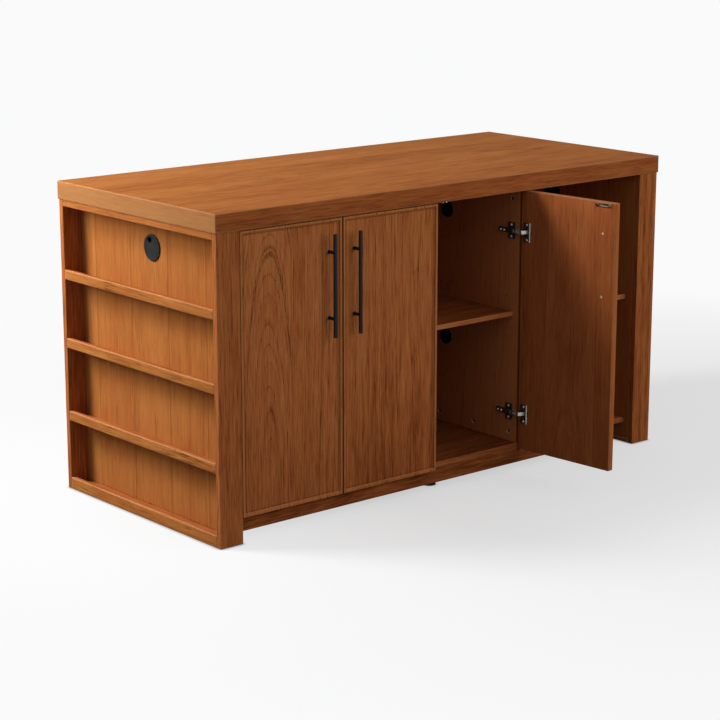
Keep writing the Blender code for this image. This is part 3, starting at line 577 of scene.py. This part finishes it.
for sideName, sidePhase in (("left", 0.0), ("right", 11.0)):
    oakBoards[f"{sideName}_end_front_stile"] = {**stilePlan, "phase": sidePhase + 1.3}
    oakBoards[f"{sideName}_end_rear_stile"] = {**stilePlan, "phase": sidePhase + 2.6}
    oakBoards[f"{sideName}_end_top_board"] = {**topPlan, "phase": sidePhase + 3.1}
    oakBoards[f"{sideName}_end_back_panel"] = {**panelPlan, "phase": sidePhase + 4.4}
    for ledgeIndex, ledgeName in enumerate(("floor", "lower", "middle", "upper")):
        ledgePhase = sidePhase + 5.0 + 1.7 * ledgeIndex
        oakBoards[f"{sideName}_end_{ledgeName}_ledge"] = {**ledgePlan, "phase": ledgePhase}


def dressOak(boards):
    for node, plan in boards.items():
        low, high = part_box(node)
        size = high - low
        if node == "right_door":  # it stands open, so its own width is the shut door's
            shutLow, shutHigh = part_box("middle_door")
            size = shutHigh - shutLow
        finish = oakFinish(node, (low + high) / 2, size, plan)
        for slot in frame["nodes"][node].material_slots:
            slot.material = finish


dressOak(oakBoards)
print("oak boards dressed:", len(oakBoards))


# Metal and plastic finishes share one recipe with their own settings

coatBase = {"slot": "nickel", "metallic": 0.0, "reach": 0.0005, "coatEdgeHighlight": 0.60, "grit": (900.0,) * 3,
            "smear": (120.0,) * 3, "bump": 0.00004, "strength": 0.5, "shine": 0.5}
coatSetup = {
    "satin_black": {
        "slot": "black_metal", "deep": (0.0040, 0.0044, 0.0046, 1.0), "pale": (0.0085, 0.0092, 0.0094, 1.0),
        "edge": (0.030, 0.031, 0.031, 1.0), "reach": 0.0006, "rough": (0.36, 0.52),
        "grit": (1600.0,) * 3, "smear": (70.0, 70.0, 14.0), "bump": 0.00006, "shine": 0.16,
    },
    "charcoal_plastic": {
        "slot": "black_plastic", "deep": (0.0055, 0.0054, 0.0050, 1.0),
        "pale": (0.0110, 0.0108, 0.0102, 1.0), "edge": (0.036, 0.036, 0.034, 1.0), "reach": 0.0008,
        "rough": (0.46, 0.64),
        "grit": (2400.0,) * 3, "smear": (60.0,) * 3, "bump": 0.00008, "shine": 0.12,
    },
    "nickel_plate": {
        "deep": (0.43, 0.42, 0.40, 1.0), "pale": (0.66, 0.645, 0.62, 1.0), "edge": (0.82, 0.80, 0.77, 1.0),
        "rough": (0.20, 0.36), "metallic": 1.0, "grit": (900.0, 260.0, 900.0),
    },
    # painted reflection: the hinge nickel is made dark to stand in for the dark cabinet it mirrors
    "nickel_dark_reflection": {
        "deep": (0.045, 0.041, 0.036, 1.0), "pale": (0.12, 0.110, 0.095, 1.0),
        "edge": (0.52, 0.49, 0.44, 1.0), "reach": 0.0006, "rough": (0.24, 0.40), "metallic": 0.7,
        "grit": (900.0, 260.0, 900.0),
    },
    # painted shade: the cams are made nearly black to stand in for the shade deep in their bores
    "zinc_cam_shaded": {
        "deep": (0.020, 0.017, 0.013, 1.0), "pale": (0.050, 0.043, 0.034, 1.0),
        "edge": (0.10, 0.085, 0.065, 1.0), "rough": (0.34, 0.52), "metallic": 0.25,
        "grit": (700.0,) * 3, "smear": (90.0,) * 3, "bump": 0.00008,
    },
    "raw_board": {
        "slot": "oak", "deep": (0.50, 0.36, 0.23, 1.0), "pale": (0.70, 0.55, 0.39, 1.0),
        "edge": (0.74, 0.60, 0.44, 1.0), "reach": 0.0003, "rough": (0.70, 0.85),
        "grit": (1100.0,) * 3, "smear": (300.0,) * 3, "bump": 0.00012, "shine": 0.1,
    },
    "warm_screw": {
        "deep": (0.58, 0.47, 0.31, 1.0), "pale": (0.78, 0.66, 0.46, 1.0), "edge": (0.84, 0.74, 0.56, 1.0),
        "reach": 0.0003, "rough": (0.24, 0.38), "metallic": 0.55, "smear": (140.0,) * 3, "bump": 0.00003,
    },
    "bright_link": {
        "deep": (0.62, 0.59, 0.52, 1.0), "pale": (0.80, 0.77, 0.69, 1.0), "edge": (0.86, 0.85, 0.82, 1.0),
        "rough": (0.30, 0.44), "metallic": 0.35, "grit": (900.0, 900.0, 300.0),
    },
    "bronzed_steel": {
        "deep": (0.07, 0.043, 0.024, 1.0), "pale": (0.15, 0.098, 0.058, 1.0), "edge": (0.34, 0.25, 0.16, 1.0),
        "reach": 0.0006, "rough": (0.30, 0.46), "metallic": 1.0, "grit": (800.0, 800.0, 300.0),
        "smear": (80.0,) * 3, "bump": 0.00005,
    },
}


def coatFinish(name, look):
    finish, tree, shader = newFinish(name)
    where = addNode(tree, "ShaderNodeTexCoord").outputs["Object"]
    grit = cloud(tree, where, look["grit"], 3.0, 0.6)
    smear = cloud(tree, where, look["smear"], 3.0)
    tone = maths(tree, "ADD", maths(tree, "MULTIPLY", grit, 0.45), maths(tree, "MULTIPLY", smear, 0.55))
    tone = spread(tree, tone, 0.34, 0.66, 0.0, 1.0)
    colour = mixColour(tree, tone, look["deep"], look["pale"])
    # painted highlight: the coat's edges are mixed toward its pale edge colour
    colour = paintEdgeHighlight(tree, colour, look["edge"], look["reach"], look["coatEdgeHighlight"])[0]
    feeds = {"Height": grit, "Strength": look["strength"], "Distance": look["bump"]}
    bump = addNode(tree, "ShaderNodeBump", feeds).outputs[0]
    rough = spread(tree, smear, 0.3, 0.7, *look["rough"])
    feed(tree, shader, {"Base Color": colour, "Roughness": rough, "Metallic": look["metallic"],
                        "Specular IOR Level": look["shine"], "Normal": bump})
    return finish


coatLooks = {coatName: {**coatBase, **ownLook} for coatName, ownLook in coatSetup.items()}
coats = {coatName: coatFinish(coatName, coatLook) for coatName, coatLook in coatLooks.items()}
print("coats mixed")


# Places that the pieces share, read from the CAD boxes

def rimAt(axis, *levels):
    return lambda item: any(all(abs(v.co[axis] - level) < 0.00002 for v in item.verts) for level in levels)


def edgesAlong(axis):
    def along(edge):
        step = edge.verts[1].co - edge.verts[0].co
        return abs(step[axis]) > 0.99 * step.length
    return along


def both(first, second):
    return lambda item: first(item) and second(item)


def spun(angle, place):
    return Matrix.Translation(place) @ Matrix.Rotation(angle, 4, "Z") @ Matrix.Translation(-Vector(place))


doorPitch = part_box("middle_door")[0].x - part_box("left_door")[0].x
openTurn = spun(doorTurn, frame["record"]["behaviour"]["joints"][2]["pos_m"])
still = Matrix.Identity(4)


def shutBox(name, part=""):
    low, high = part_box(f"{'left' if name == 'left' else 'middle'}_door{part}")
    if name == "right":  # shut, the right door is one door further along than the middle one
        low.x += doorPitch
        high.x += doorPitch
    return low, high


doorPlan = {
    "left": {"hingeSide": -1, "wall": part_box("left_end_back_panel")[1].x, "turn": still},
    "middle": {"hingeSide": 1, "wall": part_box("centre_divider")[0].x, "turn": still},
    "right": {"hingeSide": 1, "wall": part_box("right_divider")[0].x, "turn": openTurn},
}
for doorName, plan in doorPlan.items():
    plan["low"], plan["high"] = shutBox(doorName)
    plan["body"] = f"{doorName}_door_leaf"
    plan["hingeX"] = plan["high"].x if plan["hingeSide"] > 0 else plan["low"].x
    plan["freeX"] = plan["low"].x if plan["hingeSide"] > 0 else plan["high"].x
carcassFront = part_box("centre_divider")[0].y


# A cross-slotted screw head, modelled once at the origin and copied

screwSetup = {"radius": 0.0036, "height": 0.0017, "dome": 0.0010, "slotReach": 0.002232, "slotWidth": 0.0009,
              "slotDepth": 0.0010}


def cutCross(piece, top, setup):
    reach, half = setup["slotReach"], setup["slotWidth"] / 2
    for slotX, slotY in ((reach, half), (half, reach)):
        low = (-slotX, -slotY, top - setup["slotDepth"])
        cutOut(piece, addBlock("cross_slot", low, (slotX, slotY, top * 2)))
    return smoothOver(piece)


def modelScrew(setup):
    top = setup["height"]
    head = addRound("screw_head", setup["radius"], top, (0, 0, top / 2), sides=24)
    softenEdges(head, rimAt(2, top), setup["dome"])
    return cutCross(head, top, setup)


screwHead = modelScrew(screwSetup)


def facing(direction, place):
    turn = Vector((0, 0, 1)).rotation_difference(Vector(direction)).to_matrix().to_4x4()
    return Matrix.Translation(place) @ turn


def screwsAt(name, direction, places, scale=1.0):
    grown = Matrix.Scale(scale, 4)
    heads = [copyTo(screwHead, f"{name}_head", facing(direction, place) @ grown) for place in places]
    return joinAll(heads, name)


# Bar pulls: a round bar with eased ends on two posts

pullSetup = {"barSides": 40, "postSides": 28, "endEase": 0.0011, "postRadius": 0.0045, "postSpacing": 0.184,
             "collarRadius": 0.0058, "collarHeight": 0.0012, "collarEase": 0.0004, "screwScale": 1.15}


def makePull(name, setup):
    plan = doorPlan[name]
    low, high = shutBox(name, "_handle")
    radius = (high.x - low.x) / 2
    barX, barY, middleZ = (low.x + high.x) / 2, low.y + radius, (low.z + high.z) / 2
    pull = addRound(f"{name}_door_pull", radius, high.z - low.z, (barX, barY, middleZ),
                    sides=setup["barSides"])
    softenEdges(pull, rimAt(2, low.z, high.z), setup["endEase"])
    postHeights = [middleZ + rise * setup["postSpacing"] for rise in (-0.5, 0.5)]
    for postZ in postHeights:
        length = high.y - barY
        post = addRound("post", setup["postRadius"], length, (barX, barY + length / 2, postZ), (0, 1, 0),
                        setup["postSides"])
        collarY = high.y - setup["collarHeight"] / 2
        collar = addRound("collar", setup["collarRadius"], setup["collarHeight"], (barX, collarY, postZ),
                          (0, 1, 0), setup["postSides"])
        softenEdges(collar, rimAt(1, high.y - setup["collarHeight"]), setup["collarEase"], 2)
        weld(post, collar)
        weld(pull, post)
    finishPiece(setDown(pull, plan["turn"]), plan["body"], "satin_black", [f"{name}_door_handle"])

    # the screws that hold it show on the inner face
    places = [(barX, plan["high"].y, postZ) for postZ in postHeights]
    screws = screwsAt(f"{name}_door_pull_screws", (0, 1, 0), places, setup["screwScale"])
    finishPiece(moved(screws, plan["turn"]), plan["body"], "warm_screw")


for doorName in doorPlan:
    makePull(doorName, pullSetup)
print("pulls made")


# Concealed hinges: a wall plate with its arm, and a cup with its flange in the door

armSetup = {
    "setback": 0.016, "length": 0.063, "height": 0.014, "standoff": 0.010, "plateLength": 0.030,
    "plateHeight": 0.050, "plateThick": 0.0025, "plateLap": 0.0015, "plateRound": 0.0025, "wingWidth": 0.029,
    "wingRound": 0.0022, "wingScrew": 0.0175, "crank": 0.014, "crankRound": 0.0018, "cheekThick": 0.0015,
    "cheekWidth": 0.006, "cheekShare": 0.8, "cheekRound": 0.0022, "cupClear": 0.004, "fit": 0.0003,
    "ease": 0.00035, "topRound": 0.0022, "rearRound": 0.003, "slotRadius": 0.0026, "slotDepth": 0.0016,
    "slotShares": (0.34, 0.40, 0.46), "screwShares": (0.62, 0.84), "webThick": 0.0013, "webGap": 0.0008,
}
cupSetup = {
    "edge": 0.0225, "radius": 0.0175, "depth": 0.0125, "wall": 0.001, "flange": 0.0012, "height": 0.058,
    "width": 0.026, "wingRound": 0.0022, "ease": 0.0003, "screwRise": 0.0225, "tongueRoot": 0.004,
    "tongueOut": 0.014, "tongueShift": 0.0115, "tongueThick": 0.0036, "tongueHeight": 0.0104,
    "tongueRound": 0.0014, "fit": 0.0003, "pocketNear": 0.012, "pocketFar": 0.008, "pocketHalf": 0.010,
    "pocketRound": 0.003, "ribWidth": 0.005, "ribHeight": 0.0014, "ribRound": 0.0012,
}


def makeHingeArm(name, plan, level, height, setup):
    node = f"{name}_door_{level}_hinge_arm"
    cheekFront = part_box(node)[0].y
    wall, side = plan["wall"], -plan["hingeSide"]
    direction = (side, 0, 0)
    reach = abs(wall - (plan["hingeX"] + side * cupSetup["edge"])) - setup["cupClear"]
    front = carcassFront + setup["setback"]
    rear = front + setup["length"]
    half, fit = setup["height"] / 2, setup["fit"]
    lapHalf, plateHalf, wingHalf = half + setup["plateLap"], setup["plateHeight"] / 2, setup["wingWidth"] / 2
    wingMiddle = front + setup["plateLength"] / 2
    armTop, plateTop = wall + side * setup["standoff"], wall + side * setup["plateThick"]

    def onWall(part, outs, depths, rises):
        return addBlock(part, *zip([wall + side * out for out in outs], depths, [height + z for z in rises]))

    arm = onWall(f"{name}_door_{level}_arm", (fit, setup["standoff"]), (front, rear), (-half, half))
    softenEdges(arm, both(edgesAlong(1), rimAt(0, armTop)), setup["topRound"])
    softenEdges(arm, both(edgesAlong(0), rimAt(1, rear)), setup["rearRound"])
    thick = (fit, setup["plateThick"])
    plate = onWall("plate", thick, (front, front + setup["plateLength"]), (-lapHalf, lapHalf))
    softenEdges(plate, edgesAlong(0), setup["plateRound"])
    weld(arm, plate)
    wing = onWall("wing", thick, (wingMiddle - wingHalf, wingMiddle + wingHalf), (-plateHalf, plateHalf))
    softenEdges(wing, edgesAlong(0), setup["wingRound"], 5)
    weld(arm, wing)
    crank = onWall("crank", (fit, reach), (front, front + setup["crank"]), (-half, half))
    softenEdges(crank, both(edgesAlong(2), rimAt(0, wall + side * reach)), setup["crankRound"])
    weld(arm, crank)
    cheekDepths = (cheekFront, front + setup["crank"] * setup["cheekShare"])
    for cheekZ in (-half, half - setup["cheekThick"]):
        cheekRises = (cheekZ, cheekZ + setup["cheekThick"])
        cheek = onWall("cheek", (reach - setup["cheekWidth"], reach), cheekDepths, cheekRises)
        softenEdges(cheek, both(edgesAlong(2), rimAt(1, cheekFront)), setup["cheekRound"])
        weld(arm, cheek)
    for share in setup["slotShares"]:  # an elongated slot for depth setting
        place = (armTop, front + setup["length"] * share, height)
        slot = addRound("slot", setup["slotRadius"], 2 * setup["slotDepth"], place, direction, 20)
        cutOut(arm, slot)
    easeAll(arm, setup["ease"])
    finishPiece(smoothOver(outward(arm)), "carcass", "nickel_dark_reflection", [node])

    places = [(armTop, front + setup["length"] * share, height) for share in setup["screwShares"]]
    places += [(plateTop, wingMiddle, height + rise * setup["wingScrew"]) for rise in (-1, 1)]
    screws = screwsAt(f"{name}_door_{level}_arm_screws", direction, places)
    webDepths = (carcassFront + setup["webGap"], front - fit)
    web = onWall("web", (fit, setup["webThick"]), webDepths, (-half, half))
    softenEdges(web, lambda e: edgesAlong(2)(e) or edgesAlong(1)(e), setup["ease"], 2)
    screws = joinAll([smoothOver(web), screws], f"{name}_door_{level}_arm_screws")
    finishPiece(screws, "carcass", "bright_link")


def makeHingeCup(name, plan, level, height, setup):
    side, turn, body = plan["hingeSide"], plan["turn"], plan["body"]
    cupX = plan["hingeX"] - side * setup["edge"]
    face = plan["high"].y + setup["fit"]
    top = face + setup["flange"]
    halfWidth, halfHeight = setup["width"] / 2, setup["height"] / 2
    cup = addBlock(f"{name}_door_{level}_cup", (cupX - halfWidth, face, height - halfHeight),
                   (cupX + halfWidth, top, height + halfHeight))
    softenEdges(cup, edgesAlong(1), setup["wingRound"], 6)
    length = setup["depth"] + setup["flange"]
    barrel = addRound("barrel", setup["radius"], length, (cupX, top - length / 2, height), (0, 1, 0), 48)
    weld(cup, barrel)
    floorY = face - setup["depth"] + setup["wall"]
    pocket = addBlock("pocket", (cupX + side * setup["pocketNear"], floorY, height - setup["pocketHalf"]),
                      (cupX - side * setup["pocketFar"], top + setup["depth"], height + setup["pocketHalf"]))
    softenEdges(pocket, edgesAlong(1), setup["pocketRound"], 4)
    cutOut(cup, pocket)
    easeAll(cup, setup["ease"])

    halfTongue, halfThick = setup["tongueHeight"] / 2, setup["tongueThick"] / 2
    rootY, tipY = floorY - setup["wall"] / 2, face + setup["tongueOut"]
    bendY = rootY + setup["tongueRoot"]
    tongue = addBlock("tongue", (cupX - halfThick, rootY, height - halfTongue),
                      (cupX + halfThick, bendY, height + halfTongue))
    pushFaces(tongue, rimAt(1, bendY), (side * setup["tongueShift"], tipY - bendY, 0.0))
    softenEdges(tongue, both(edgesAlong(2), rimAt(1, tipY)), setup["tongueRound"])
    smoothOver(outward(tongue))
    ribTop = top + setup["ribHeight"]
    rib = addBlock("rib", (cupX - side * halfWidth, top, height - halfHeight),
                   (cupX - side * (halfWidth - setup["ribWidth"]), ribTop, height + halfHeight))
    softenEdges(rib, both(edgesAlong(2), rimAt(1, ribTop)), setup["ribRound"])
    smoothOver(rib)
    finishPiece(setDown(cup, turn), body, "nickel_dark_reflection", [f"{name}_door_{level}_hinge_cup"])

    places = [(cupX, top, height + rise * setup["screwRise"]) for rise in (-1, 1)]
    screws = screwsAt(f"{name}_door_{level}_cup_screws", (0, 1, 0), places)
    link = joinAll([tongue, rib, screws], f"{name}_door_{level}_cup_link")
    finishPiece(moved(link, turn), body, "bright_link")


for doorName, plan in doorPlan.items():
    for level in ("upper", "lower"):
        nodeLow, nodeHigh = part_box(f"{doorName}_door_{level}_hinge_arm")
        hingeHeight = (nodeLow.z + nodeHigh.z) / 2
        makeHingeArm(doorName, plan, level, hingeHeight, armSetup)
        makeHingeCup(doorName, plan, level, hingeHeight, cupSetup)
print("hinges made")


# Cable grommets in the end panels: a ring, and the notched cap that turns in it

grommetSetup = {
    "flangeRadius": 0.038, "flangeThick": 0.003, "sleeveRadius": 0.0332, "boreRadius": 0.0307,
    "boreLength": 0.02, "boreRound": 0.0005, "boreSlack": 0.0002, "shoulderRadius": 0.0282,
    "throatLength": 0.06, "seat": -0.0023, "sleeveEnd": -0.0186, "rimRound": 0.0013, "sides": 72,
    "capRadius": 0.0304, "capBottom": -0.0020, "capRound": 0.0007, "dishInset": 0.0030, "dishArea": 0.001,
    "dishWall": 0.0006, "dishDepth": 0.0006, "notchRadius": 0.009, "notchDepth": 0.016, "notchTilt": 66.0,
    "notchLength": 0.03, "notchSteps": (0.0, 0.35, 0.7, 1.05, 1.4, 1.75),
}


def sinkFace(piece, test, setup):
    insetFaces(piece, test, setup["dishInset"])
    insetFaces(piece, lambda face: test(face) and face.calc_area() > setup["dishArea"], setup["dishWall"],
               -setup["dishDepth"])


def makeEndGrommet(name, side, setup):
    ringLow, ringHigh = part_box(f"{name}_grommet_ring")
    outerX = ringHigh.x if side > 0 else ringLow.x
    faceX = outerX - side * setup["flangeThick"]
    middle = (ringLow + ringHigh) / 2
    place = Matrix.Translation((faceX, middle.y, middle.z)) @ Matrix.Rotation(side * math.pi / 2, 4, "Y")
    top, sides = setup["flangeThick"], setup["sides"]
    ring = addRound(f"{name}_cable_ring", setup["flangeRadius"], top, (0, 0, top / 2), sides=sides)
    softenEdges(ring, rimAt(2, top), setup["rimRound"], 4)
    deep, seat = setup["throatLength"] / 2, setup["seat"]
    for part, radius, low, high, change in (
        ("sleeve", setup["sleeveRadius"], setup["sleeveEnd"], top / 2, weld),
        ("throat", setup["shoulderRadius"], -deep, deep, cutOut),
        ("bore", setup["boreRadius"], seat, seat + setup["boreLength"], cutOut),
    ):
        change(ring, addRound(part, radius, high - low, (0, 0, (low + high) / 2), sides=sides))
    boreEdge = setup["boreRadius"] + setup["boreSlack"]
    atBore = both(rimAt(2, top), lambda e: e.verts[0].co.xy.length < boreEdge)
    softenEdges(ring, atBore, setup["boreRound"], 2)
    finishPiece(setDown(ring, place), "carcass", "charcoal_plastic", [f"{name}_grommet_ring"])

    thick = top - setup["capBottom"]
    capMiddle = (0, 0, (top + setup["capBottom"]) / 2)
    cap = addRound(f"{name}_cable_cap_disc", setup["capRadius"], thick, capMiddle, sides=sides)
    sinkFace(cap, rimAt(2, top), setup)
    turn = math.pi / 2 + side * math.radians(setup["notchTilt"])
    outwards = Vector((math.cos(turn), math.sin(turn), 0.0))
    endAt = setup["capRadius"] - setup["notchDepth"] + setup["notchRadius"]
    for step in setup["notchSteps"]:  # the notch is drilled out towards the edge
        spot = outwards * (endAt + step * setup["notchRadius"])
        notch = addRound("notch", setup["notchRadius"], setup["notchLength"], spot, sides=32)
        cutOut(cap, notch)
    easeAll(cap, setup["capRound"])
    finishPiece(setDown(cap, place), f"{name}_cable_cap", "charcoal_plastic", [f"{name}_grommet_cap"])


makeEndGrommet("left", -1, grommetSetup)
makeEndGrommet("right", 1, grommetSetup)


# Closed cable plugs through the right divider

plugSetup = {"flangeRadius": 0.0255, "flangeThick": 0.0025, "plugRadius": 0.0227, "plugLength": 0.0183,
             "rimRound": 0.0011, "dishInset": 0.0040, "dishArea": 0.0006, "dishWall": 0.0006,
             "dishDepth": 0.0007, "notchRadius": 0.0042, "notchOut": 0.0125, "notchLength": 0.004,
             "sides": 64}


def makeDividerPlug(level, setup):
    node = f"{level}_divider_grommet"
    low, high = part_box(node)
    middle = (low + high) / 2
    top, sides = setup["flangeThick"], setup["sides"]
    plug = addRound(f"{level}_cable_plug", setup["flangeRadius"], top, (0, 0, top / 2), sides=sides)
    softenEdges(plug, rimAt(2, top), setup["rimRound"], 4)
    sinkFace(plug, rimAt(2, top), setup)
    length = setup["plugLength"] + top / 2
    stem = addRound("stem", setup["plugRadius"], length, (0, 0, top / 2 - length / 2), sides=sides)
    weld(plug, stem)
    notchPlace = (setup["notchOut"], 0.0, top)
    notch = addRound("notch", setup["notchRadius"], setup["notchLength"], notchPlace, sides=28)
    cutOut(plug, notch)
    place = Matrix.Translation((low.x + top, middle.y, middle.z)) @ Matrix.Rotation(-math.pi / 2, 4, "Y")
    finishPiece(setDown(plug, place), "carcass", "charcoal_plastic", [node])


for level in ("upper", "lower"):
    makeDividerPlug(level, plugSetup)
print("grommets made")


# Levelling feet: a domed base, a threaded stem and a lock nut

footSetup = {"baseHeight": 0.006, "baseRound": 0.0025, "stemRadius": 0.0056, "threads": 22,
             "threadGrowth": 1.10, "nutRadius": 0.0098, "nutHeight": 0.006, "nutLift": 0.0075,
             "nutEase": 0.0006, "padRadius": 0.016, "padHeight": 0.0025, "padEase": 0.0008, "smooth": 30.0}


def makeFoot(name, setup):
    node = f"{name}_foot"
    low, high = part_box(node)
    x, y = (low.x + high.x) / 2, (low.y + high.y) / 2
    base = setup["baseHeight"]
    foot = addRound(f"{name}_levelling_foot", (high.x - low.x) / 2, base, (x, y, base / 2), sides=48)
    softenEdges(foot, rimAt(2, base), setup["baseRound"], 4)
    stemLow = base / 2
    stem = addRound("stem", setup["stemRadius"], high.z - stemLow, (x, y, (high.z + stemLow) / 2), sides=24)
    openEdit(stem, "EDGE", edgesAlong(2))
    bpy.ops.mesh.subdivide(number_cuts=2 * setup["threads"] + 1)
    closeEdit()
    pitch = (high.z - stemLow) / (2 * setup["threads"] + 2)
    rings = [stemLow + pitch * (2 * turn + 1) for turn in range(setup["threads"] + 1)]
    openEdit(stem, "EDGE", rimAt(2, *rings))
    bpy.ops.transform.resize(value=(setup["threadGrowth"], setup["threadGrowth"], 1.0),
                             center_override=(x, y, high.z / 2))
    closeEdit()
    weld(foot, stem)
    nutZ, nutHalf = base + setup["nutLift"], setup["nutHeight"] / 2
    nut = addRound("nut", setup["nutRadius"], setup["nutHeight"], (x, y, nutZ), sides=6)
    softenEdges(nut, rimAt(2, nutZ - nutHalf, nutZ + nutHalf), setup["nutEase"], 2)
    weld(foot, nut)
    padZ = high.z - setup["padHeight"] / 2
    pad = addRound("pad", setup["padRadius"], setup["padHeight"], (x, y, padZ), sides=40)
    softenEdges(pad, rimAt(2, high.z - setup["padHeight"]), setup["padEase"], 2)
    weld(foot, pad)
    finishPiece(smoothOver(outward(foot), setup["smooth"]), "carcass", "charcoal_plastic", [node])


for name in ("front", "middle", "rear"):
    makeFoot(name, footSetup)
print("feet made")


# Magnetic catches under the worktop and the strike plates on the doors

catchSetup = {"round": 0.0012, "dishInset": 0.0032, "dishArea": 0.00008, "dishWall": 0.0004,
              "dishDepth": 0.0005, "poleWidth": 0.0042, "poleShare": 1.6, "poleDepth": 0.004, "ease": 0.00025}
strikeSetup = {"length": 0.058, "height": 0.0125, "thick": 0.0013, "drop": 0.0082, "corner": 0.003,
               "edge": 0.0425, "ease": 0.0003, "screwReach": 0.021, "screwScale": 0.8, "slotReach": 0.014,
               "slotRise": 0.0030, "slotDepth": 0.0009, "slotRound": 0.0024}


def makeCatch(name, setup):
    node = f"{name}_door_catch"
    low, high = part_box(node)
    case = addBlock(f"{name}_door_magnet", low, high)
    softenEdges(case, edgesAlong(1), setup["round"])
    sinkFace(case, rimAt(1, low.y), setup)
    half, inset = setup["poleWidth"] / 2, setup["dishInset"]
    for side in (-1, 1):
        poleX = (low.x + high.x) / 2 + side * setup["poleWidth"] * setup["poleShare"]
        pole = addBlock("pole", (poleX - half, low.y, low.z + inset),
                        (poleX + half, low.y + setup["poleDepth"], high.z - inset))
        weld(case, pole)
    easeAll(case, setup["ease"])
    finishPiece(smoothOver(outward(case)), "carcass", "nickel_plate", [node])


def makeStrike(name, plan, setup):
    middleX = plan["freeX"] + plan["hingeSide"] * setup["edge"]
    middleZ = plan["high"].z - setup["drop"]
    face = plan["high"].y
    top = face + setup["thick"]

    def onDoor(part, reach, rise, low, high):
        return addBlock(part, (middleX - reach, low, middleZ - rise), (middleX + reach, high, middleZ + rise))

    plate = onDoor(f"{name}_door_strike", setup["length"] / 2, setup["height"] / 2, face, top)
    softenEdges(plate, edgesAlong(1), setup["corner"], 4)
    slotLow, slotHigh = top - setup["slotDepth"], top + setup["thick"]
    slot = onDoor("slot", setup["slotReach"], setup["slotRise"], slotLow, slotHigh)
    softenEdges(slot, edgesAlong(1), setup["slotRound"], 4)
    cutOut(plate, slot)
    easeAll(plate, setup["ease"])
    places = [(middleX + side * setup["screwReach"], top, middleZ) for side in (-1, 1)]
    screws = screwsAt("strike_screws", (0, 1, 0), places, setup["screwScale"])
    plate = joinAll([plate, screws], f"{name}_door_strike")
    finishPiece(smoothOver(moved(plate, plan["turn"])), plan["body"], "bronzed_steel")


for doorName, plan in doorPlan.items():
    makeCatch(doorName, catchSetup)
    makeStrike(doorName, plan, strikeSetup)
print("catches made")


# Cam locks in the dividers' bores, and pins under the shelves

camSetup = {"radius": 0.0072, "thick": 0.0030, "sunk": 0.0052, "rim": 0.0006, "slotReach": 0.0046,
            "slotWidth": 0.0016, "slotDepth": 0.0014, "edge": 0.030, "end": 0.033, "floorCount": 5,
            "topCount": 3, "turnStart": 0.4, "turnStep": 0.9, "linerRadius": 0.0073, "linerBore": 0.0066,
            "linerTop": 0.0002, "linerEnd": 0.0050, "sides": 32}
pinSetup = {"radius": 0.0023, "reach": 0.0075, "bite": 0.0080, "ease": 0.0006, "end": 0.051, "rows": 3,
            "drop": 0.0002, "gap": 0.0003}


def modelCam(setup):
    top = setup["thick"]
    cam = addRound("cam_disc", setup["radius"], top, (0, 0, top / 2), sides=setup["sides"])
    softenEdges(cam, rimAt(2, top), setup["rim"], 2)
    return cutCross(cam, top, setup)


def modelLiner(setup):
    length, sides = setup["linerEnd"] - setup["linerTop"], setup["sides"]
    middle = (0, 0, -setup["linerTop"] - length / 2)
    liner = addRound("cam_liner", setup["linerRadius"], length, middle, sides=sides)
    cutOut(liner, addRound("liner_bore", setup["linerBore"], 4 * length, middle, sides=sides))
    return smoothOver(outward(liner))


def evenly(start, end, count):
    return [start + (end - start) * step / (count - 1) for step in range(count)]


def makeCams(node, source, liner, setup):
    low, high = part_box(node)
    front, rear = low.y + setup["end"], high.y - setup["end"]
    spots = [(y, low.z + setup["edge"]) for y in evenly(front, rear, setup["floorCount"])]
    spots += [(y, high.z - setup["edge"]) for y in evenly(front, rear, setup["topCount"])]
    faceX = low.x + setup["sunk"] + setup["thick"]
    cams, liners = [], []
    for index, (y, z) in enumerate(spots):
        turn = Matrix.Rotation(setup["turnStart"] + setup["turnStep"] * index, 4, "Z")
        cams.append(copyTo(source, f"{node}_cam", facing((-1, 0, 0), (faceX, y, z)) @ turn))
        liners.append(copyTo(liner, f"{node}_liner", facing((-1, 0, 0), (low.x, y, z))))
    finishPiece(joinAll(cams, f"{node}_cams"), "carcass", "zinc_cam_shaded")
    finishPiece(joinAll(liners, f"{node}_bore_rims"), "carcass", "raw_board")


def makePins(node, rightBite, setup):
    low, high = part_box(node)
    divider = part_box("centre_divider")
    pinZ = low.z - setup["radius"] - setup["drop"]
    rows = evenly(divider[0].y + setup["end"], divider[1].y - setup["end"], setup["rows"])
    pins = []
    for wall, side, bite in ((low.x - setup["gap"], 1, 0.0), (high.x + setup["gap"], -1, rightBite)):
        length = setup["reach"] + bite
        middle = wall + side * (setup["reach"] - bite) / 2
        for y in rows:
            pin = addRound("pin", setup["radius"], length, (middle, y, pinZ), (1, 0, 0), 20)
            softenEdges(pin, rimAt(0, wall + side * setup["reach"]), setup["ease"], 2)
            pins.append(pin)
    joined = joinAll(pins, f"{node}_pins")
    finishPiece(smoothOver(outward(joined)), "carcass", "nickel_plate")


camDisc, boreLiner = modelCam(camSetup), modelLiner(camSetup)
for node in ("centre_divider", "right_divider"):
    makeCams(node, camDisc, boreLiner, camSetup)
makePins("double_cabinet_shelf", pinSetup["bite"], pinSetup)
makePins("single_cabinet_shelf", pinSetup["bite"], pinSetup)
makePins("bay_shelf", 0.0, pinSetup)
for pattern in (screwHead, camDisc, boreLiner):
    bpy.data.objects.remove(pattern, do_unlink=True)
print("cams and pins made")


print("pieces finished")
